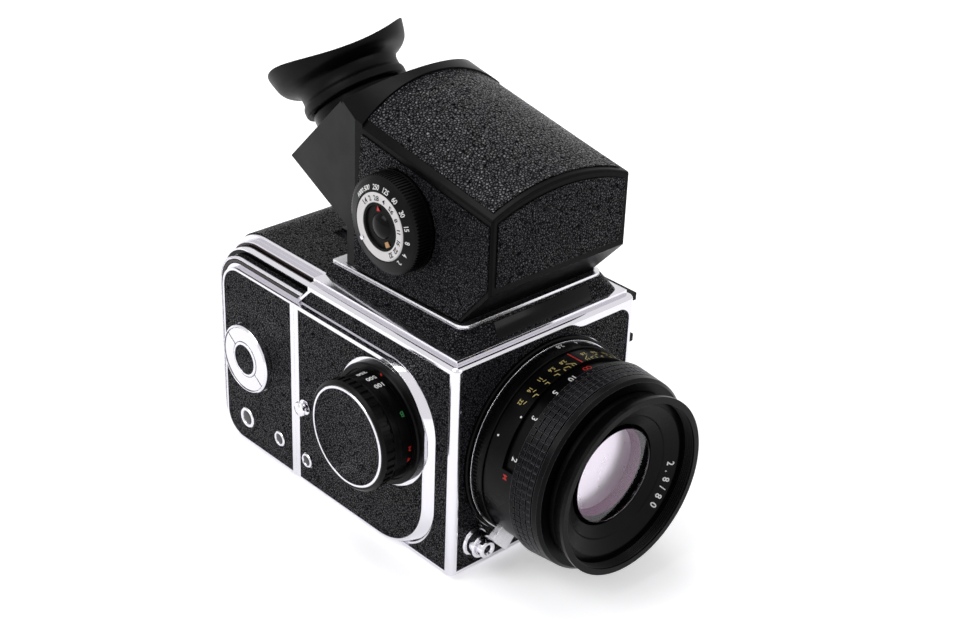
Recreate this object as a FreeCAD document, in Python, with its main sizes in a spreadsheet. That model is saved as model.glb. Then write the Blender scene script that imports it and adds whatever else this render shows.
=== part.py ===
import FreeCAD, Part
import math
import os
import Sketcher
from FreeCAD import Placement, Rotation, Vector

# Medium format reflex film camera: body, removable film magazine, eye level metered
# prism finder and standard lens. Millimetres. +Z up, the lens looks along -Y, the winding
# knob is on the -X side. The origin is the centre of the tripod socket, on the face of the foot.

SIZES = {
    # body shell
    "foot_height": 2.5, "foot_width": 40.0, "foot_length": 50.0, "foot_lip": 2.2,
    "socket_radius": 4.76, "socket_depth": 7.0,
    "shell_half_width": 43.0, "shell_front": 43.0, "seam": 43.0, "shell_height": 84.0,
    "corner_radius": 2.4, "panel_depth": 0.6, "front_bar": 2.8, "side_bar": 3.2, "base_bar": 1.4,
    "front_moulding": 1.1, "front_shoulder": 3.7, "front_round": 5.0, "swoop_start": 9.0,
    "swoop_end": 17.5, "side_moulding": 2.6, "pin_grip": 1.6, "step_y": 37.0, "step_rise": 0.9,
    "step_gap": 0.14, "step_border": 1.4, "seat_gap": 0.1,
    "chamber_half": 31.0, "chamber_low": 13.0, "chamber_roof": 12.0, "front_wall": 6.0,
    "slot_half": 40.5, "slot_depth": 10.0, "gate_wall": 2.0, "gate_half": 28.5,
    "screen_half": 30.0, "screen_thick": 3.0, "screen_ledge": 3.0,
    "lens_offset": 0.3, "mount_radius": 38.0, "mount_bore": 32.0, "mount_proud": 1.1,
    # side plates, with their leather
    "plate_proud": 2.0, "plate_drop": 9.8, "plate_front": 30.0, "plate_round": 24.0,
    "plate_slope": 3.2, "plate_frame": 1.6, "seam_frame": 2.5, "edge_frame": 0.8,
    "plate_rim": 0.9, "leather": 0.5, "leather_gap": 0.15, "lug_y": 37.1, "lug_z": 35.7,
    "lug_radius": 3.0, "lug_height": 3.4,
    # fittings of the plain side
    "shoe_y": -29.5, "shoe_drop": 2.9, "shoe_length": 18.0, "shoe_width": 20.0, "shoe_rail": 1.6,
    "shoe_lip": 1.3, "shoe_rise": 3.4, "sync_y": 10.0, "sync_z": 20.0, "sync_radius": 3.6,
    # shoulder under the finder
    "collar_half": 40.6, "collar_foot": 1.8, "collar_step": 2.2, "collar_rise": 8.4,
    "collar_top_half": 33.7, "collar_front": 35.4, "collar_back": 36.6, "collar_inset": 0.6,
    "collar_tilt": 2.8, "collar_round": 4.0, "collar_taper": 3.3, "collar_bore": 26.0,
    "strip_height": 1.3, "strip_rear_half": 32.1, "well_gap": 0.4, "seat_half": 29.4,
    "seat_rise": 7.5,
    # winding knob on the wind side
    "knob_y": -7.0, "knob_z": 50.5, "dish_radius": 24.0, "dish_depth": 0.8,
    "flange_radius": 22.7, "flange_height": 2.4, "speed_radius": 19.7, "speed_height": 7.4,
    "knob_radius": 20.5, "knob_height": 5.6, "knob_ring": 18.75, "knob_ring_width": 0.9,
    "knob_groove": 0.55, "knob_ribs": 40, "knob_slot": 1.6, "knob_shaft": 4.0, "running_gap": 0.05,
    "axial_gap": 0.2,
    # release button under the lens
    "release_x": -32.3, "release_z": 13.8, "release_flange": 5.6, "release_radius": 3.4,
    "release_proud": 7.6, "cable_bore": 1.5, "cable_depth": 5.0,
    # mirror
    "mirror_pivot_y": 24.5, "pivot_drop": 3.0, "mirror_length": 55.0, "mirror_half": 26.0,
    "mirror_frame_thick": 1.6, "mirror_glass_thick": 1.4, "pin_radius": 1.5,
    # focal plane shutter
    "drum_x": 35.6, "drum_y": 37.0, "drum_radius": 3.6, "curtain_thick": 0.3,
    # lens, measured forward from the front of the shell
    "ring_start": 1.3, "ring_end": 7.1, "ring_radius": 36.6, "barrel_radius": 35.9,
    "barrel_end": 21.4, "scale_start": 15.2, "focus_end": 33.2, "focus_radius": 37.1,
    "focus_nose": 34.9, "front_start": 34.4, "front_end": 43.3, "front_radius": 33.3,
    "front_waist": 31.6, "name_front": 38.5, "name_back": 36.1, "name_outer": 28.4,
    "name_inner": 23.4, "glass_radius": 19.1, "glass_front": 33.6, "glass_rear_radius": 15.0,
    "lens_back": 7.0, "rear_front": 3.2, "rear_dome": 0.6, "rear_rim": 2.0, "knurl_start": 1.0,
    "knurl_width": 2.4, "knurl_depth": 0.7, "ring_wall": 3.6, "tube_outer": 27.0,
    "tube_wall": 2.0, "tube_front": 26.0, "rear_shroud": 30.0, "skirt_radius": 34.6,
    "web_front": 12.0, "focus_back": 12.4, "front_tube": 29.9, "focus_nose_radius": 36.0,
    "filter_radius": 31.0, "glass_seat": 31.6, "front_glass_radius": 20.4,
    "dome_radius": 52.0, "ring_ribs": 160, "ring_groove": 0.7, "focus_ribs": 86,
    "focus_groove": 0.5,
    "window_from": 40.0, "window_sweep": 127.0, "tab_angle": 222.0, "tab_sweep": 14.0,
    "tab_travel": 20.0, "tab_root": 33.6, "tab_tip": 41.5, "tab_low": 8.8, "tab_high": 11.2,
    # finder
    "finder_half": 31.7, "finder_nose": 45.6, "finder_throat": 32.0,
    "finder_heel": 30.0, "throat_rise": 2.5, "nose_low": 17.5, "nose_high": 44.3, "nose_crown": 50.8,
    "ridge_y": 20.0, "ridge_edge": 55.3, "ridge_crown": 67.3, "ridge_lift": 1.2, "heel_high": 14.5,
    "rear_y": 74.0, "rear_z": 24.0, "rear_half": 21.5, "taper_start": 24.0,
    "slope_y": 33.0, "slope_z": 61.0, "crest_y": 24.0, "crest_z": 69.13,
    "finder_round": 1.0, "roof_border": 1.5, "side_low_front": 2.7,
    "side_low_back": 1.2, "skin_gap": 0.1, "prism_half": 24.0,
    "prism_top": 46.0, "prism_back_high": 28.0, "prism_front_high": 24.0, "eye_depth": 16.0,
    "eye_clear": 10.0, "eye_run": 23.5, "channel_radius": 3.5, "channel_drop": 2.5,
    "channel_end": 50.0,
    "tube_radius": 18.0, "tube_height": 10.0, "tube_bore": 12.0, "cup_bead": 20.1,
    "cup_bead_height": 3.4, "cup_waist": 19.2, "cup_waist_height": 8.6, "cup_flare": 25.0,
    "cup_flare_height": 12.6, "cup_lip": 27.0, "cup_start": 7.6, "cup_top": 28.0, "cup_wall": 1.9,
    "cup_edge": 0.8, "saddle_low": 23.5, "saddle_radius": 80.0, "saddle_turn": -22.0,
    "eye_seat": 3.5, "eye_lens_edge": 1.5, "eye_lens_dome": 2.7,
    # exposure dial on the finder
    "dial_y": -1.0, "dial_z": 28.8, "dial_radius": 17.8, "dial_face": 12.4, "dial_height": 9.9,
    "dial_ribs": 92, "dial_groove": 0.6, "stop_outer": 12.1, "stop_inner": 8.6, "dial_base": 1.2,
    "dial_shoulder": 7.4,
    # film magazine
    "magazine_depth": 44.5, "magazine_round": 10.0, "centre_half": 33.3, "centre_step": 9.4,
    "rail_half": 36.0, "rail_step": 7.6, "band_half": 40.0, "band_step": 6.2,
    "strip_half": 43.0, "strip_step": 3.4, "rail_trim": 1.8, "strip_middle": 41.6,
    "strip_trim": 1.3, "skin_start": 1.2, "base_lift": 1.2, "insert_gap": 0.1, "film_wall": 3.0,
    "slide_wall": 3.6, "slide_frame": 4.2, "slide_offset": 1.4, "slide_half": 29.6, "slide_thick": 0.8,
    "grip_width": 3.2, "grip_bulge": 0.5, "catch_y": 60.0, "catch_half": 6.0,
    "catch_width": 8.0, "catch_sunk": 1.4, "catch_rise": 1.4, "catch_travel": 4.0,
    "catch_pitch": 2.4, "spool_radius": 12.0, "film_radius": 11.0, "spool_core": 5.5,
    "spool_half": 31.0, "spool_play": 0.3, "spool_pin": 3.5, "flange_thick": 1.0,
    "spool_y": 69.0, "spool_low": 21.0, "spool_drop": 16.7, "cheek_thick": 1.6,
    "cheek_back": 9.0, "pressure_thick": 1.4, "magazine_seam": 2.2,
    "key_y": 71.0, "key_z": 41.8, "key_radius": 13.7, "key_rim": 12.9, "key_boss": 7.0,
    "key_shaft": 2.5, "key_height": 2.8, "key_floor": 1.0, "key_reach": 6.0,
    "bow_gap": 0.3, "bow_split": 0.3, "bow_thick": 1.2,
    "counter_y": 74.0, "counter_z": 13.5, "counter_radius": 4.2, "signal_y": 53.3,
    "signal_z": 13.9, "signal_radius": 3.1, "body_signal_y": 36.4, "body_signal_z": 12.5,
}

doc = FreeCAD.newDocument("film_camera")
sheet = doc.addObject("Spreadsheet::Sheet", "dims")
for row, (alias, number) in enumerate(SIZES.items(), start=1):
    sheet.set("A%d" % row, alias)
    sheet.set("B%d" % row, str(number))
    sheet.setAlias("B%d" % row, alias)
doc.recompute()


class Size:
    """A length that knows both its number and the sheet expression it comes from."""

    def __init__(self, text, number):
        self.text = text
        self.number = number

    def join(self, sign, other, number):
        return Size("(%s %s %s)" % (self.text, sign, as_text(other)), number)

    def __add__(self, other):
        return self.join("+", other, self.number + as_number(other))

    def __radd__(self, other):
        return self + other

    def __sub__(self, other):
        return self.join("-", other, self.number - as_number(other))

    def __rsub__(self, other):
        return Size("(%s - %s)" % (as_text(other), self.text), as_number(other) - self.number)

    def __mul__(self, other):
        return self.join("*", other, self.number * as_number(other))

    def __rmul__(self, other):
        return self * other

    def __truediv__(self, other):
        return self.join("/", other, self.number / as_number(other))

    def __neg__(self):
        return Size("(0 - %s)" % self.text, -self.number)


def as_text(value):
    return value.text if isinstance(value, Size) else "%.6f" % value


def as_number(value):
    return value.number if isinstance(value, Size) else float(value)


def root(value):
    return Size("sqrt(%s)" % value.text, value.number ** 0.5)


class Sizes:
    """s.alias gives the sheet cell of that alias."""

    def __getattr__(self, alias):
        return Size("dims." + alias, SIZES[alias])


s = Sizes()
nodes = {}


def bind(target, prop, value):
    if isinstance(value, Size):
        target.setExpression(prop, value.text)
    else:
        setattr(target, prop, value)


def place(target, x=0.0, y=0.0, z=0.0, turn=None):
    """Put an object at a point, with an optional turn, and bind the point to the sheet."""
    base = Vector(as_number(x), as_number(y), as_number(z))
    target.Placement = Placement(base, turn or Rotation())
    for letter, value in zip("xyz", (x, y, z)):
        if isinstance(value, Size):
            target.setExpression("Placement.Base." + letter, value.text)
    return target


# Turned parts are drawn along their own Z, which these turn to where the part faces.
FORWARD = Rotation(Vector(1, 0, 0), 90)
BACKWARD = Rotation(Vector(1, 0, 0), -90)
WIND_SIDE = Rotation(Vector(0, 1, 0), -90)
PLAIN_SIDE = Rotation(Vector(0, 1, 0), 90)


def new_body(label):
    body = doc.addObject("PartDesign::Body", label)
    body.Label = label
    return body


def keep(target, label):
    """Name a finished sub-part."""
    target.Label = label
    nodes[label] = target
    return target


def origin_part(body, role):
    return next(item for item in body.Origin.OriginFeatures if item.Role == role)


def new_sketch(body, role, offset=0.0):
    sketch = body.newObject("Sketcher::SketchObject", "sketch")
    sketch.AttachmentSupport = (origin_part(body, role), [""])
    sketch.MapMode = "FlatFace"
    sketch.AttachmentOffset = Placement(Vector(0, 0, as_number(offset)), Rotation())
    if isinstance(offset, Size):
        sketch.setExpression("AttachmentOffset.Base.z", offset.text)
    return sketch


def constrain(sketch, kind, *where_and_value):
    value = where_and_value[-1]
    index = sketch.addConstraint(
        Sketcher.Constraint(kind, *where_and_value[:-1], as_number(value)))
    if isinstance(value, Size):
        sketch.setExpression("Constraints[%d]" % index, value.text)


def arc_between(start, end, radius):
    """The shorter arc from start to end: it turns left for a positive radius, right for a
    negative one. Gives the curve and which of its ends lies at start."""
    chord = end - start
    half = chord.Length / 2
    size = abs(radius)
    rise = max(size * size - half * half, 0.0) ** 0.5
    side = Vector(-chord.y, chord.x, 0).normalize()
    left = radius > 0
    centre = (start + end) / 2 + side * (rise if left else -rise)
    circle = Part.Circle(centre, Vector(0, 0, 1), size)
    first, last = (start, end) if left else (end, start)
    curve = Part.ArcOfCircle(circle, circle.parameter(first), circle.parameter(last))
    return curve, left


def outline(sketch, points):
    """Close a chain of straight and round runs. A point is (x, y) or (x, y, radius), where
    the radius rounds the run that leaves the point."""
    number = len(points)
    base = sketch.GeometryCount
    corners = [Vector(as_number(p[0]), as_number(p[1]), 0) for p in points]
    ends = []
    for i, point in enumerate(points):
        start, end = corners[i], corners[(i + 1) % number]
        if len(point) == 3:
            curve, left = arc_between(start, end, as_number(point[2]))
            sketch.addGeometry(curve, False)
            ends.append((1, 2) if left else (2, 1))
        else:
            sketch.addGeometry(Part.LineSegment(start, end), False)
            ends.append((1, 2))
    for i in range(number):
        following = (i + 1) % number
        sketch.addConstraint(Sketcher.Constraint(
            "Coincident", base + i, ends[i][1], base + following, ends[following][0]))
    for i, point in enumerate(points):
        constrain(sketch, "DistanceX", -1, 1, base + i, ends[i][0], point[0])
        constrain(sketch, "DistanceY", -1, 1, base + i, ends[i][0], point[1])
        if len(point) == 3:
            radius = point[2] if as_number(point[2]) > 0 else -point[2]
            constrain(sketch, "Radius", base + i, radius)
    return sketch


def rectangle(sketch, left, right, low, high):
    return outline(sketch, [(left, low), (right, low), (right, high), (left, high)])


def circle(sketch, x, y, radius):
    base = sketch.addGeometry(
        Part.Circle(Vector(as_number(x), as_number(y), 0), Vector(0, 0, 1), as_number(radius)))
    constrain(sketch, "Radius", base, radius)
    constrain(sketch, "DistanceX", -1, 1, base, 3, x)
    constrain(sketch, "DistanceY", -1, 1, base, 3, y)
    return sketch


def pad(body, sketch, length, reversed_way=False, both_ways=False):
    feature = body.newObject("PartDesign::Pad", "pad")
    feature.Profile = sketch
    bind(feature, "Length", length)
    feature.Reversed = reversed_way
    feature.Midplane = both_ways
    return feature


def pocket(body, sketch, length, reversed_way=False, both_ways=False):
    feature = body.newObject("PartDesign::Pocket", "pocket")
    feature.Profile = sketch
    bind(feature, "Length", length)
    feature.Reversed = reversed_way
    feature.Midplane = both_ways
    return feature


def turned(label, points):
    """A part turned on the lathe. The points are (radius, height) along its own Z."""
    body = new_body(label)
    sketch = outline(new_sketch(body, "XZ_Plane"), points)
    feature = body.newObject("PartDesign::Revolution", "turning")
    feature.Profile = sketch
    feature.ReferenceAxis = (sketch, ["V_Axis"])
    feature.Angle = 360
    return keep(body, label)


def ribbed(body, radius, low, high, depth, width, count):
    """Cut a row of grip grooves along a turned part, between two heights."""
    sketch = new_sketch(body, "XY_Plane", low)
    rectangle(sketch, radius - depth, radius + depth, -width / 2, width / 2)
    groove = pocket(body, sketch, high - low, reversed_way=True)
    ring = body.newObject("PartDesign::PolarPattern", "grooves")
    ring.Originals = [groove]
    ring.Axis = (origin_part(body, "Z_Axis"), [""])
    ring.Angle = 360
    bind(ring, "Occurrences", count)
    body.Tip = ring
    return ring


def edges_near(shape, test):
    """Names of the edges whose middle point passes a test."""
    names = []
    for index, edge in enumerate(shape.Edges, start=1):
        middle = edge.valueAt((edge.FirstParameter + edge.LastParameter) / 2)
        if test(middle, edge):
            names.append("Edge%d" % index)
    return names


def rounded(body, radius, test):
    doc.recompute()
    base = body.Tip
    feature = body.newObject("PartDesign::Fillet", "rounding")
    feature.Base = (base, edges_near(base.Shape, test))
    bind(feature, "Radius", radius)
    return feature


def side_panel(sketch, nose, tail, low, high, low_radius, high_radius=None):
    """A side outline in (Y, Z): square at its tail and round at the two corners of its nose."""
    if high_radius is None:
        high_radius = low_radius
    if as_number(tail) > as_number(nose):
        return outline(sketch, [
            (tail, low), (nose + low_radius, low, -low_radius), (nose, low + low_radius),
            (nose, high - high_radius, -high_radius), (nose + high_radius, high), (tail, high)])
    return outline(sketch, [
        (tail, low), (nose - low_radius, low, low_radius), (nose, low + low_radius),
        (nose, high - high_radius, high_radius), (nose - high_radius, high), (tail, high)])


def drilled(body, role, offset, x, y, radius, length, reversed_way=False):
    """Bore a round hole from a plane parallel to an origin plane."""
    return pocket(body, circle(new_sketch(body, role, offset), x, y, radius), length, reversed_way)


# Heights and places that several parts share.
floor = s.foot_height
shell_top = floor + s.shell_height
plate_top = shell_top - s.plate_drop
lens_height = (floor + shell_top) / 2 + s.lens_offset
chamber_high = shell_top - s.chamber_roof
pivot_z = chamber_high - s.pivot_drop
shoe_z = plate_top - s.shoe_drop
spool_high = plate_top - s.spool_drop
recess = s.shell_half_width - s.panel_depth
plate_face = s.shell_half_width + s.plate_proud
screen_seat = chamber_high + s.screen_ledge
shutter_front = s.seam - s.gate_wall - s.slot_depth
collar_inner = s.collar_half - s.collar_step
collar_high = shell_top + s.collar_rise
step_low = plate_top + s.step_rise
step_high = step_low + s.seam - s.step_y

# The finder stands on its seat, and its heights are counted from there.
finder_base = shell_top + s.seat_rise
nose_low, nose_high = finder_base + s.nose_low, finder_base + s.nose_high
nose_crown = finder_base + s.nose_crown
ridge_edge, ridge_crown = finder_base + s.ridge_edge, finder_base + s.ridge_crown
heel_high, rear_z = finder_base + s.heel_high, finder_base + s.rear_z
slope_z, crest_z = finder_base + s.slope_z, finder_base + s.crest_z
prism_top, dial_z = finder_base + s.prism_top, finder_base + s.dial_z
prism_back_high = finder_base + s.prism_back_high
prism_front_high = finder_base + s.prism_front_high
finder_taper = (s.finder_half - s.rear_half) / (s.rear_y - s.taper_start)
back_slope = (slope_z - rear_z) / (s.rear_y - s.slope_y)


def plate_outline(sketch, front, inset=0.0, frame=0.0, seam_inset=0.0):
    return side_panel(sketch, -front + inset, s.seam - seam_inset, floor + inset,
                      plate_top - frame, s.plate_round - inset)


def front_outline(sketch, inset=0.0):
    """The leather field of the front: its top edge swings down on the side of the shoe."""
    half = s.shell_half_width - s.front_bar - inset
    high = shell_top - s.front_moulding - inset
    low = shell_top - s.front_shoulder - inset
    run, rise = s.swoop_end - s.swoop_start, s.front_shoulder - s.front_moulding
    bend = (run * run + rise * rise) / (rise * 4)
    return outline(sketch, [
        (-half, floor + s.base_bar + inset), (half, floor + s.base_bar + inset),
        (half, low - s.front_round, s.front_round), (half - s.front_round, low),
        (s.swoop_end, low, -bend), ((s.swoop_start + s.swoop_end) / 2, (low + high) / 2, bend),
        (s.swoop_start, high), (-half, high)])


def corner_outline(sketch, overrun, inset=0.0):
    """The leather field of a side, which ends along the slope under the magazine's nose."""
    front = s.side_bar - s.shell_front + inset
    low, high = floor + s.base_bar + inset, shell_top - s.side_moulding - inset
    edge = step_low - s.step_border - inset
    return outline(sketch, [
        (front, low), (s.seam + overrun, low), (s.seam + overrun, edge - overrun),
        (s.seam + edge - high, high), (front, high)])


# Camera body

def make_body_shell():
    body = new_body("body_shell")
    half = s.shell_half_width
    block = rectangle(new_sketch(body, "XY_Plane", floor), -half, half, -s.shell_front, s.seam)
    pad(body, block, s.shell_height)
    rounded(body, s.corner_radius, lambda middle, edge: (
        abs(edge.tangentAt(edge.FirstParameter).z) > 0.99 and middle.y < 0))
    rounded(body, s.corner_radius * 0.7, lambda middle, edge: (
        middle.z > as_number(shell_top) - 0.01 and middle.y < as_number(s.seam) - 1))
    chamber = rectangle(new_sketch(body, "XY_Plane", s.chamber_low), -s.chamber_half,
                        s.chamber_half, s.front_wall - s.shell_front, shutter_front + 1)
    pocket(body, chamber, chamber_high - s.chamber_low, reversed_way=True)
    slot = rectangle(new_sketch(body, "XY_Plane", s.chamber_low - 1), -s.slot_half, s.slot_half,
                     shutter_front, s.seam - s.gate_wall)
    pocket(body, slot, chamber_high - s.chamber_low + 2, reversed_way=True)
    gate = rectangle(new_sketch(body, "XZ_Plane", -s.seam), -s.gate_half, s.gate_half,
                     lens_height - s.gate_half, lens_height + s.gate_half)
    pocket(body, gate, s.gate_wall + 1, reversed_way=True)
    drilled(body, "XZ_Plane", s.shell_front, 0, lens_height, s.mount_bore + 1.5, s.front_wall + 1)
    ledge = s.screen_half - s.screen_ledge
    window = rectangle(new_sketch(body, "XY_Plane", chamber_high - 1), -ledge, ledge, -ledge,
                       ledge)
    pocket(body, window, s.screen_ledge + 2, reversed_way=True)
    seat = rectangle(new_sketch(body, "XY_Plane", screen_seat), -s.screen_half, s.screen_half,
                     -s.screen_half, s.screen_half)
    pocket(body, seat, s.shell_height, reversed_way=True)
    for side in (1, -1):
        plate_seat = plate_outline(
            new_sketch(body, "YZ_Plane", side * recess), s.plate_front + s.plate_slope)
        pocket(body, plate_seat, s.panel_depth + 1, reversed_way=side > 0)
        panel = corner_outline(new_sketch(body, "YZ_Plane", side * recess), s.panel_depth)
        pocket(body, panel, s.panel_depth + 1, reversed_way=side > 0)
    front = front_outline(new_sketch(body, "XZ_Plane", s.shell_front - s.panel_depth))
    pocket(body, front, s.panel_depth + 1, reversed_way=True)
    drilled(body, "XZ_Plane", s.shell_front, 0, lens_height, s.mount_radius + s.seat_gap,
            s.panel_depth)
    pivot = new_sketch(body, "YZ_Plane")
    circle(pivot, s.mirror_pivot_y, pivot_z, s.pin_radius + s.running_gap)
    pocket(body, pivot, s.chamber_half * 2 + s.pin_grip * 2, both_ways=True)
    for side in (1, -1):
        bore = new_sketch(body, "XY_Plane", s.chamber_low - 1 - s.pin_grip)
        circle(bore, side * s.drum_x, s.drum_y, s.pin_radius + s.running_gap)
        pocket(body, bore, chamber_high - s.chamber_low + 2 + s.pin_grip * 2,
               reversed_way=True)
    drilled(body, "XZ_Plane", s.shell_front, s.release_x, s.release_z,
            s.release_radius + s.running_gap, s.front_wall - 0.4)
    drilled(body, "XY_Plane", floor, 0, 0, s.socket_radius, s.socket_depth, reversed_way=True)
    step = outline(new_sketch(body, "YZ_Plane"), [
        (s.seam + 1, step_low - 1), (s.seam + 1, shell_top + 1), (s.step_y, shell_top + 1),
        (s.step_y, step_high)])
    pocket(body, step, half * 2 + 2, both_ways=True)
    return keep(body, "body_shell")


def make_tripod_foot():
    body = new_body("tripod_foot")
    half, length = s.foot_width / 2, s.foot_length / 2
    pad(body, rectangle(new_sketch(body, "XY_Plane"), -half, half, -length, length), floor)
    for side in (1, -1):
        edge = rectangle(new_sketch(body, "XZ_Plane"), side * half - side * s.foot_lip,
                         side * half + side, floor - 1.2, floor)
        pocket(body, edge, s.foot_length + 4, both_ways=True)
    drilled(body, "XY_Plane", 0.0, 0, 0, s.socket_radius, s.foot_height, reversed_way=True)
    return keep(body, "tripod_foot")


def make_side_plate(label, side):
    """A raised side plate whose front wall slopes down to the shell; side is 1 or -1."""
    body = new_body(label)
    base = plate_outline(new_sketch(body, "YZ_Plane", side * recess),
                         s.plate_front + s.plate_slope)
    face = plate_outline(new_sketch(body, "YZ_Plane", side * plate_face), s.plate_front)
    wall = body.newObject("PartDesign::AdditiveLoft", "wall")
    wall.Profile = base
    wall.Sections = [face]
    wall.Ruled = True
    panel = plate_outline(new_sketch(body, "YZ_Plane", side * (plate_face - s.panel_depth)),
                          s.plate_front, s.edge_frame, s.plate_frame, s.seam_frame)
    pocket(body, panel, s.panel_depth + 1, reversed_way=side > 0)
    if side < 0:
        dish = circle(new_sketch(body, "YZ_Plane", -(plate_face - s.dish_depth)), s.knob_y,
                      s.knob_z, s.dish_radius + s.leather_gap)
        pocket(body, dish, s.dish_depth + 1)
        shaft = circle(new_sketch(body, "YZ_Plane", -recess), s.knob_y, s.knob_z,
                       s.knob_shaft + s.running_gap)
        pocket(body, shaft, s.plate_proud + s.panel_depth + 1)
    else:
        notch = rectangle(new_sketch(body, "YZ_Plane", recess - 1), s.shoe_y - s.shoe_length / 2,
                          s.shoe_y + s.shoe_length / 2, shoe_z - s.shoe_width / 2,
                          shoe_z + s.shoe_width / 2)
        pocket(body, notch, s.plate_proud + 4, reversed_way=True)
    return keep(body, label)


def notch_leather(body, plane):
    """Make room in a sheet for the accessory shoe."""
    gap = s.leather_gap
    notch = rectangle(new_sketch(body, "YZ_Plane", plane), s.shoe_y - s.shoe_length / 2 - gap,
                      s.shoe_y + s.shoe_length / 2 + gap, shoe_z - s.shoe_width / 2 - gap,
                      shoe_z + s.shoe_width / 2 + gap)
    pocket(body, notch, s.leather + 1, reversed_way=True)


def make_side_leather(label, side):
    body = new_body(label)
    gap = s.leather_gap
    sheet_outline = plate_outline(
        new_sketch(body, "YZ_Plane", side * (plate_face - s.panel_depth)), s.plate_front,
        s.edge_frame + gap, s.plate_frame + gap, s.seam_frame + gap)
    pad(body, sheet_outline, s.leather, reversed_way=side < 0)
    if side < 0:
        hole = circle(new_sketch(body, "YZ_Plane", -(plate_face - s.panel_depth)), s.knob_y,
                      s.knob_z, s.dish_radius + gap)
        pocket(body, hole, s.leather + 1)
        signal = circle(new_sketch(body, "YZ_Plane", -(plate_face - s.panel_depth)),
                        s.body_signal_y, s.body_signal_z, s.signal_radius + gap)
        pocket(body, signal, s.leather + 1)
    else:
        notch_leather(body, plate_face - s.panel_depth)
        socket = circle(new_sketch(body, "YZ_Plane", plate_face - s.panel_depth), s.sync_y,
                        s.sync_z, s.sync_radius + gap)
        pocket(body, socket, s.leather + 1, reversed_way=True)
    lug = circle(new_sketch(body, "YZ_Plane", side * (plate_face - s.panel_depth)), s.lug_y,
                 s.lug_z, s.lug_radius + gap)
    pocket(body, lug, s.leather + 1, reversed_way=side > 0)
    return body


def make_corner_leather(label, side):
    """The leather on the shell above and in front of a raised side plate."""
    body = new_body(label)
    gap = s.leather_gap
    panel = corner_outline(new_sketch(body, "YZ_Plane", side * recess), -gap, gap)
    pad(body, panel, s.leather, reversed_way=side < 0)
    plate = side_panel(new_sketch(body, "YZ_Plane", side * recess),
                       -s.plate_front - s.plate_slope - gap, s.seam + 1, floor - 1,
                       plate_top + s.plate_rim, s.plate_round + gap, s.plate_round + gap)
    pocket(body, plate, s.leather + 1, reversed_way=side > 0)
    if side > 0:
        notch_leather(body, recess)
    return body


def make_front_leather():
    body = new_body("front_leather")
    gap = s.leather_gap
    plane = s.shell_front - s.panel_depth
    panel = front_outline(new_sketch(body, "XZ_Plane", plane), gap)
    pad(body, panel, s.leather)
    for x, z, radius in ((0, lens_height, s.mount_radius + gap),
                         (s.release_x, s.release_z, s.release_flange + gap)):
        hole = circle(new_sketch(body, "XZ_Plane", plane), x, z, radius)
        pocket(body, hole, s.leather + 1, reversed_way=True)
    return keep(body, "front_leather")


def shoulder(label, grow=0.0):
    """The four sloping sides of the shoulder, up to the height of its front."""
    body = new_body(label)
    back = s.collar_back - s.collar_inset
    ends = []
    for height, half, front in (
            (shell_top + s.collar_foot, collar_inner + grow, collar_inner + grow),
            (collar_high, s.collar_top_half + grow, s.collar_front + grow)):
        corner = s.collar_round + grow
        ends.append(outline(new_sketch(body, "XY_Plane", height), [
            (corner - half, -front), (half - corner, -front, corner), (half, corner - front),
            (half - s.collar_taper, back), (s.collar_taper - half, back),
            (-half, corner - front, corner)]))
    slope = body.newObject("PartDesign::AdditiveLoft", "slope")
    slope.Profile = ends[0]
    slope.Sections = [ends[1]]
    slope.Ruled = True
    return body


def cut_tilted(body, rise, reach):
    """Cut away what lies beyond the sloping plane of the shoulder's top: above it for a
    positive reach and below it for a negative one."""
    front, back = -s.collar_front, s.collar_back
    high = collar_high + rise
    line = [(front, high), (back, high - s.collar_tilt)]
    beyond = [(back, high + reach), (front, high + reach)]
    pocket(body, outline(new_sketch(body, "YZ_Plane"), line + beyond), s.collar_half * 3,
           both_ways=True)


def well(sketch):
    """The footprint of the finder, with room round it."""
    half, front = s.finder_half + s.well_gap, -s.finder_throat - s.well_gap
    back = s.finder_heel + s.well_gap
    narrow = half - finder_taper * (back - s.taper_start)
    return outline(sketch, [
        (-half, front), (half, front), (half, s.taper_start), (narrow, back), (-narrow, back),
        (-half, s.taper_start)])


def make_collar():
    """The shoulder that carries the finder: an upright foot, then four sloping sides."""
    body = shoulder("top_collar")
    cut_tilted(body, 0.0, s.seat_rise)
    foot = rectangle(new_sketch(body, "XY_Plane", shell_top), -s.collar_half, s.collar_half,
                     -s.collar_half, s.collar_back)
    pad(body, foot, s.collar_foot)
    pocket(body, well(new_sketch(body, "XY_Plane", finder_base)), s.seat_rise, reversed_way=True)
    seat = rectangle(new_sketch(body, "XY_Plane", shell_top), -s.seat_half, s.seat_half,
                     -s.seat_half, s.seat_half)
    pad(body, seat, s.seat_rise)
    bore = s.collar_bore
    opening = rectangle(new_sketch(body, "XY_Plane", shell_top), -bore, bore, -bore, bore)
    pocket(body, opening, s.seat_rise + 1, reversed_way=True)
    return keep(body, "top_collar")


def make_collar_strip():
    """The bright moulding on the shoulder, which runs round the foot of the finder."""
    body = new_body("collar_strip")
    back = s.collar_back - s.collar_inset
    start = collar_high - s.collar_tilt - 1
    ring = outline(new_sketch(body, "XY_Plane", start), [
        (-s.collar_top_half, -s.collar_front), (s.collar_top_half, -s.collar_front),
        (s.strip_rear_half, back), (-s.strip_rear_half, back)])
    pad(body, ring, s.collar_tilt + 1 + s.strip_height)
    rounded(body, s.collar_round, lambda middle, edge: (
        middle.y < 0 and abs(edge.tangentAt(edge.FirstParameter).z) > 0.9))
    cut_tilted(body, s.strip_height, s.seat_rise)
    cut_tilted(body, 0.0, -s.seat_rise)
    pocket(body, well(new_sketch(body, "XY_Plane", shell_top)), s.seat_rise * 2,
           reversed_way=True)
    return keep(body, "collar_strip")


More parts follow.
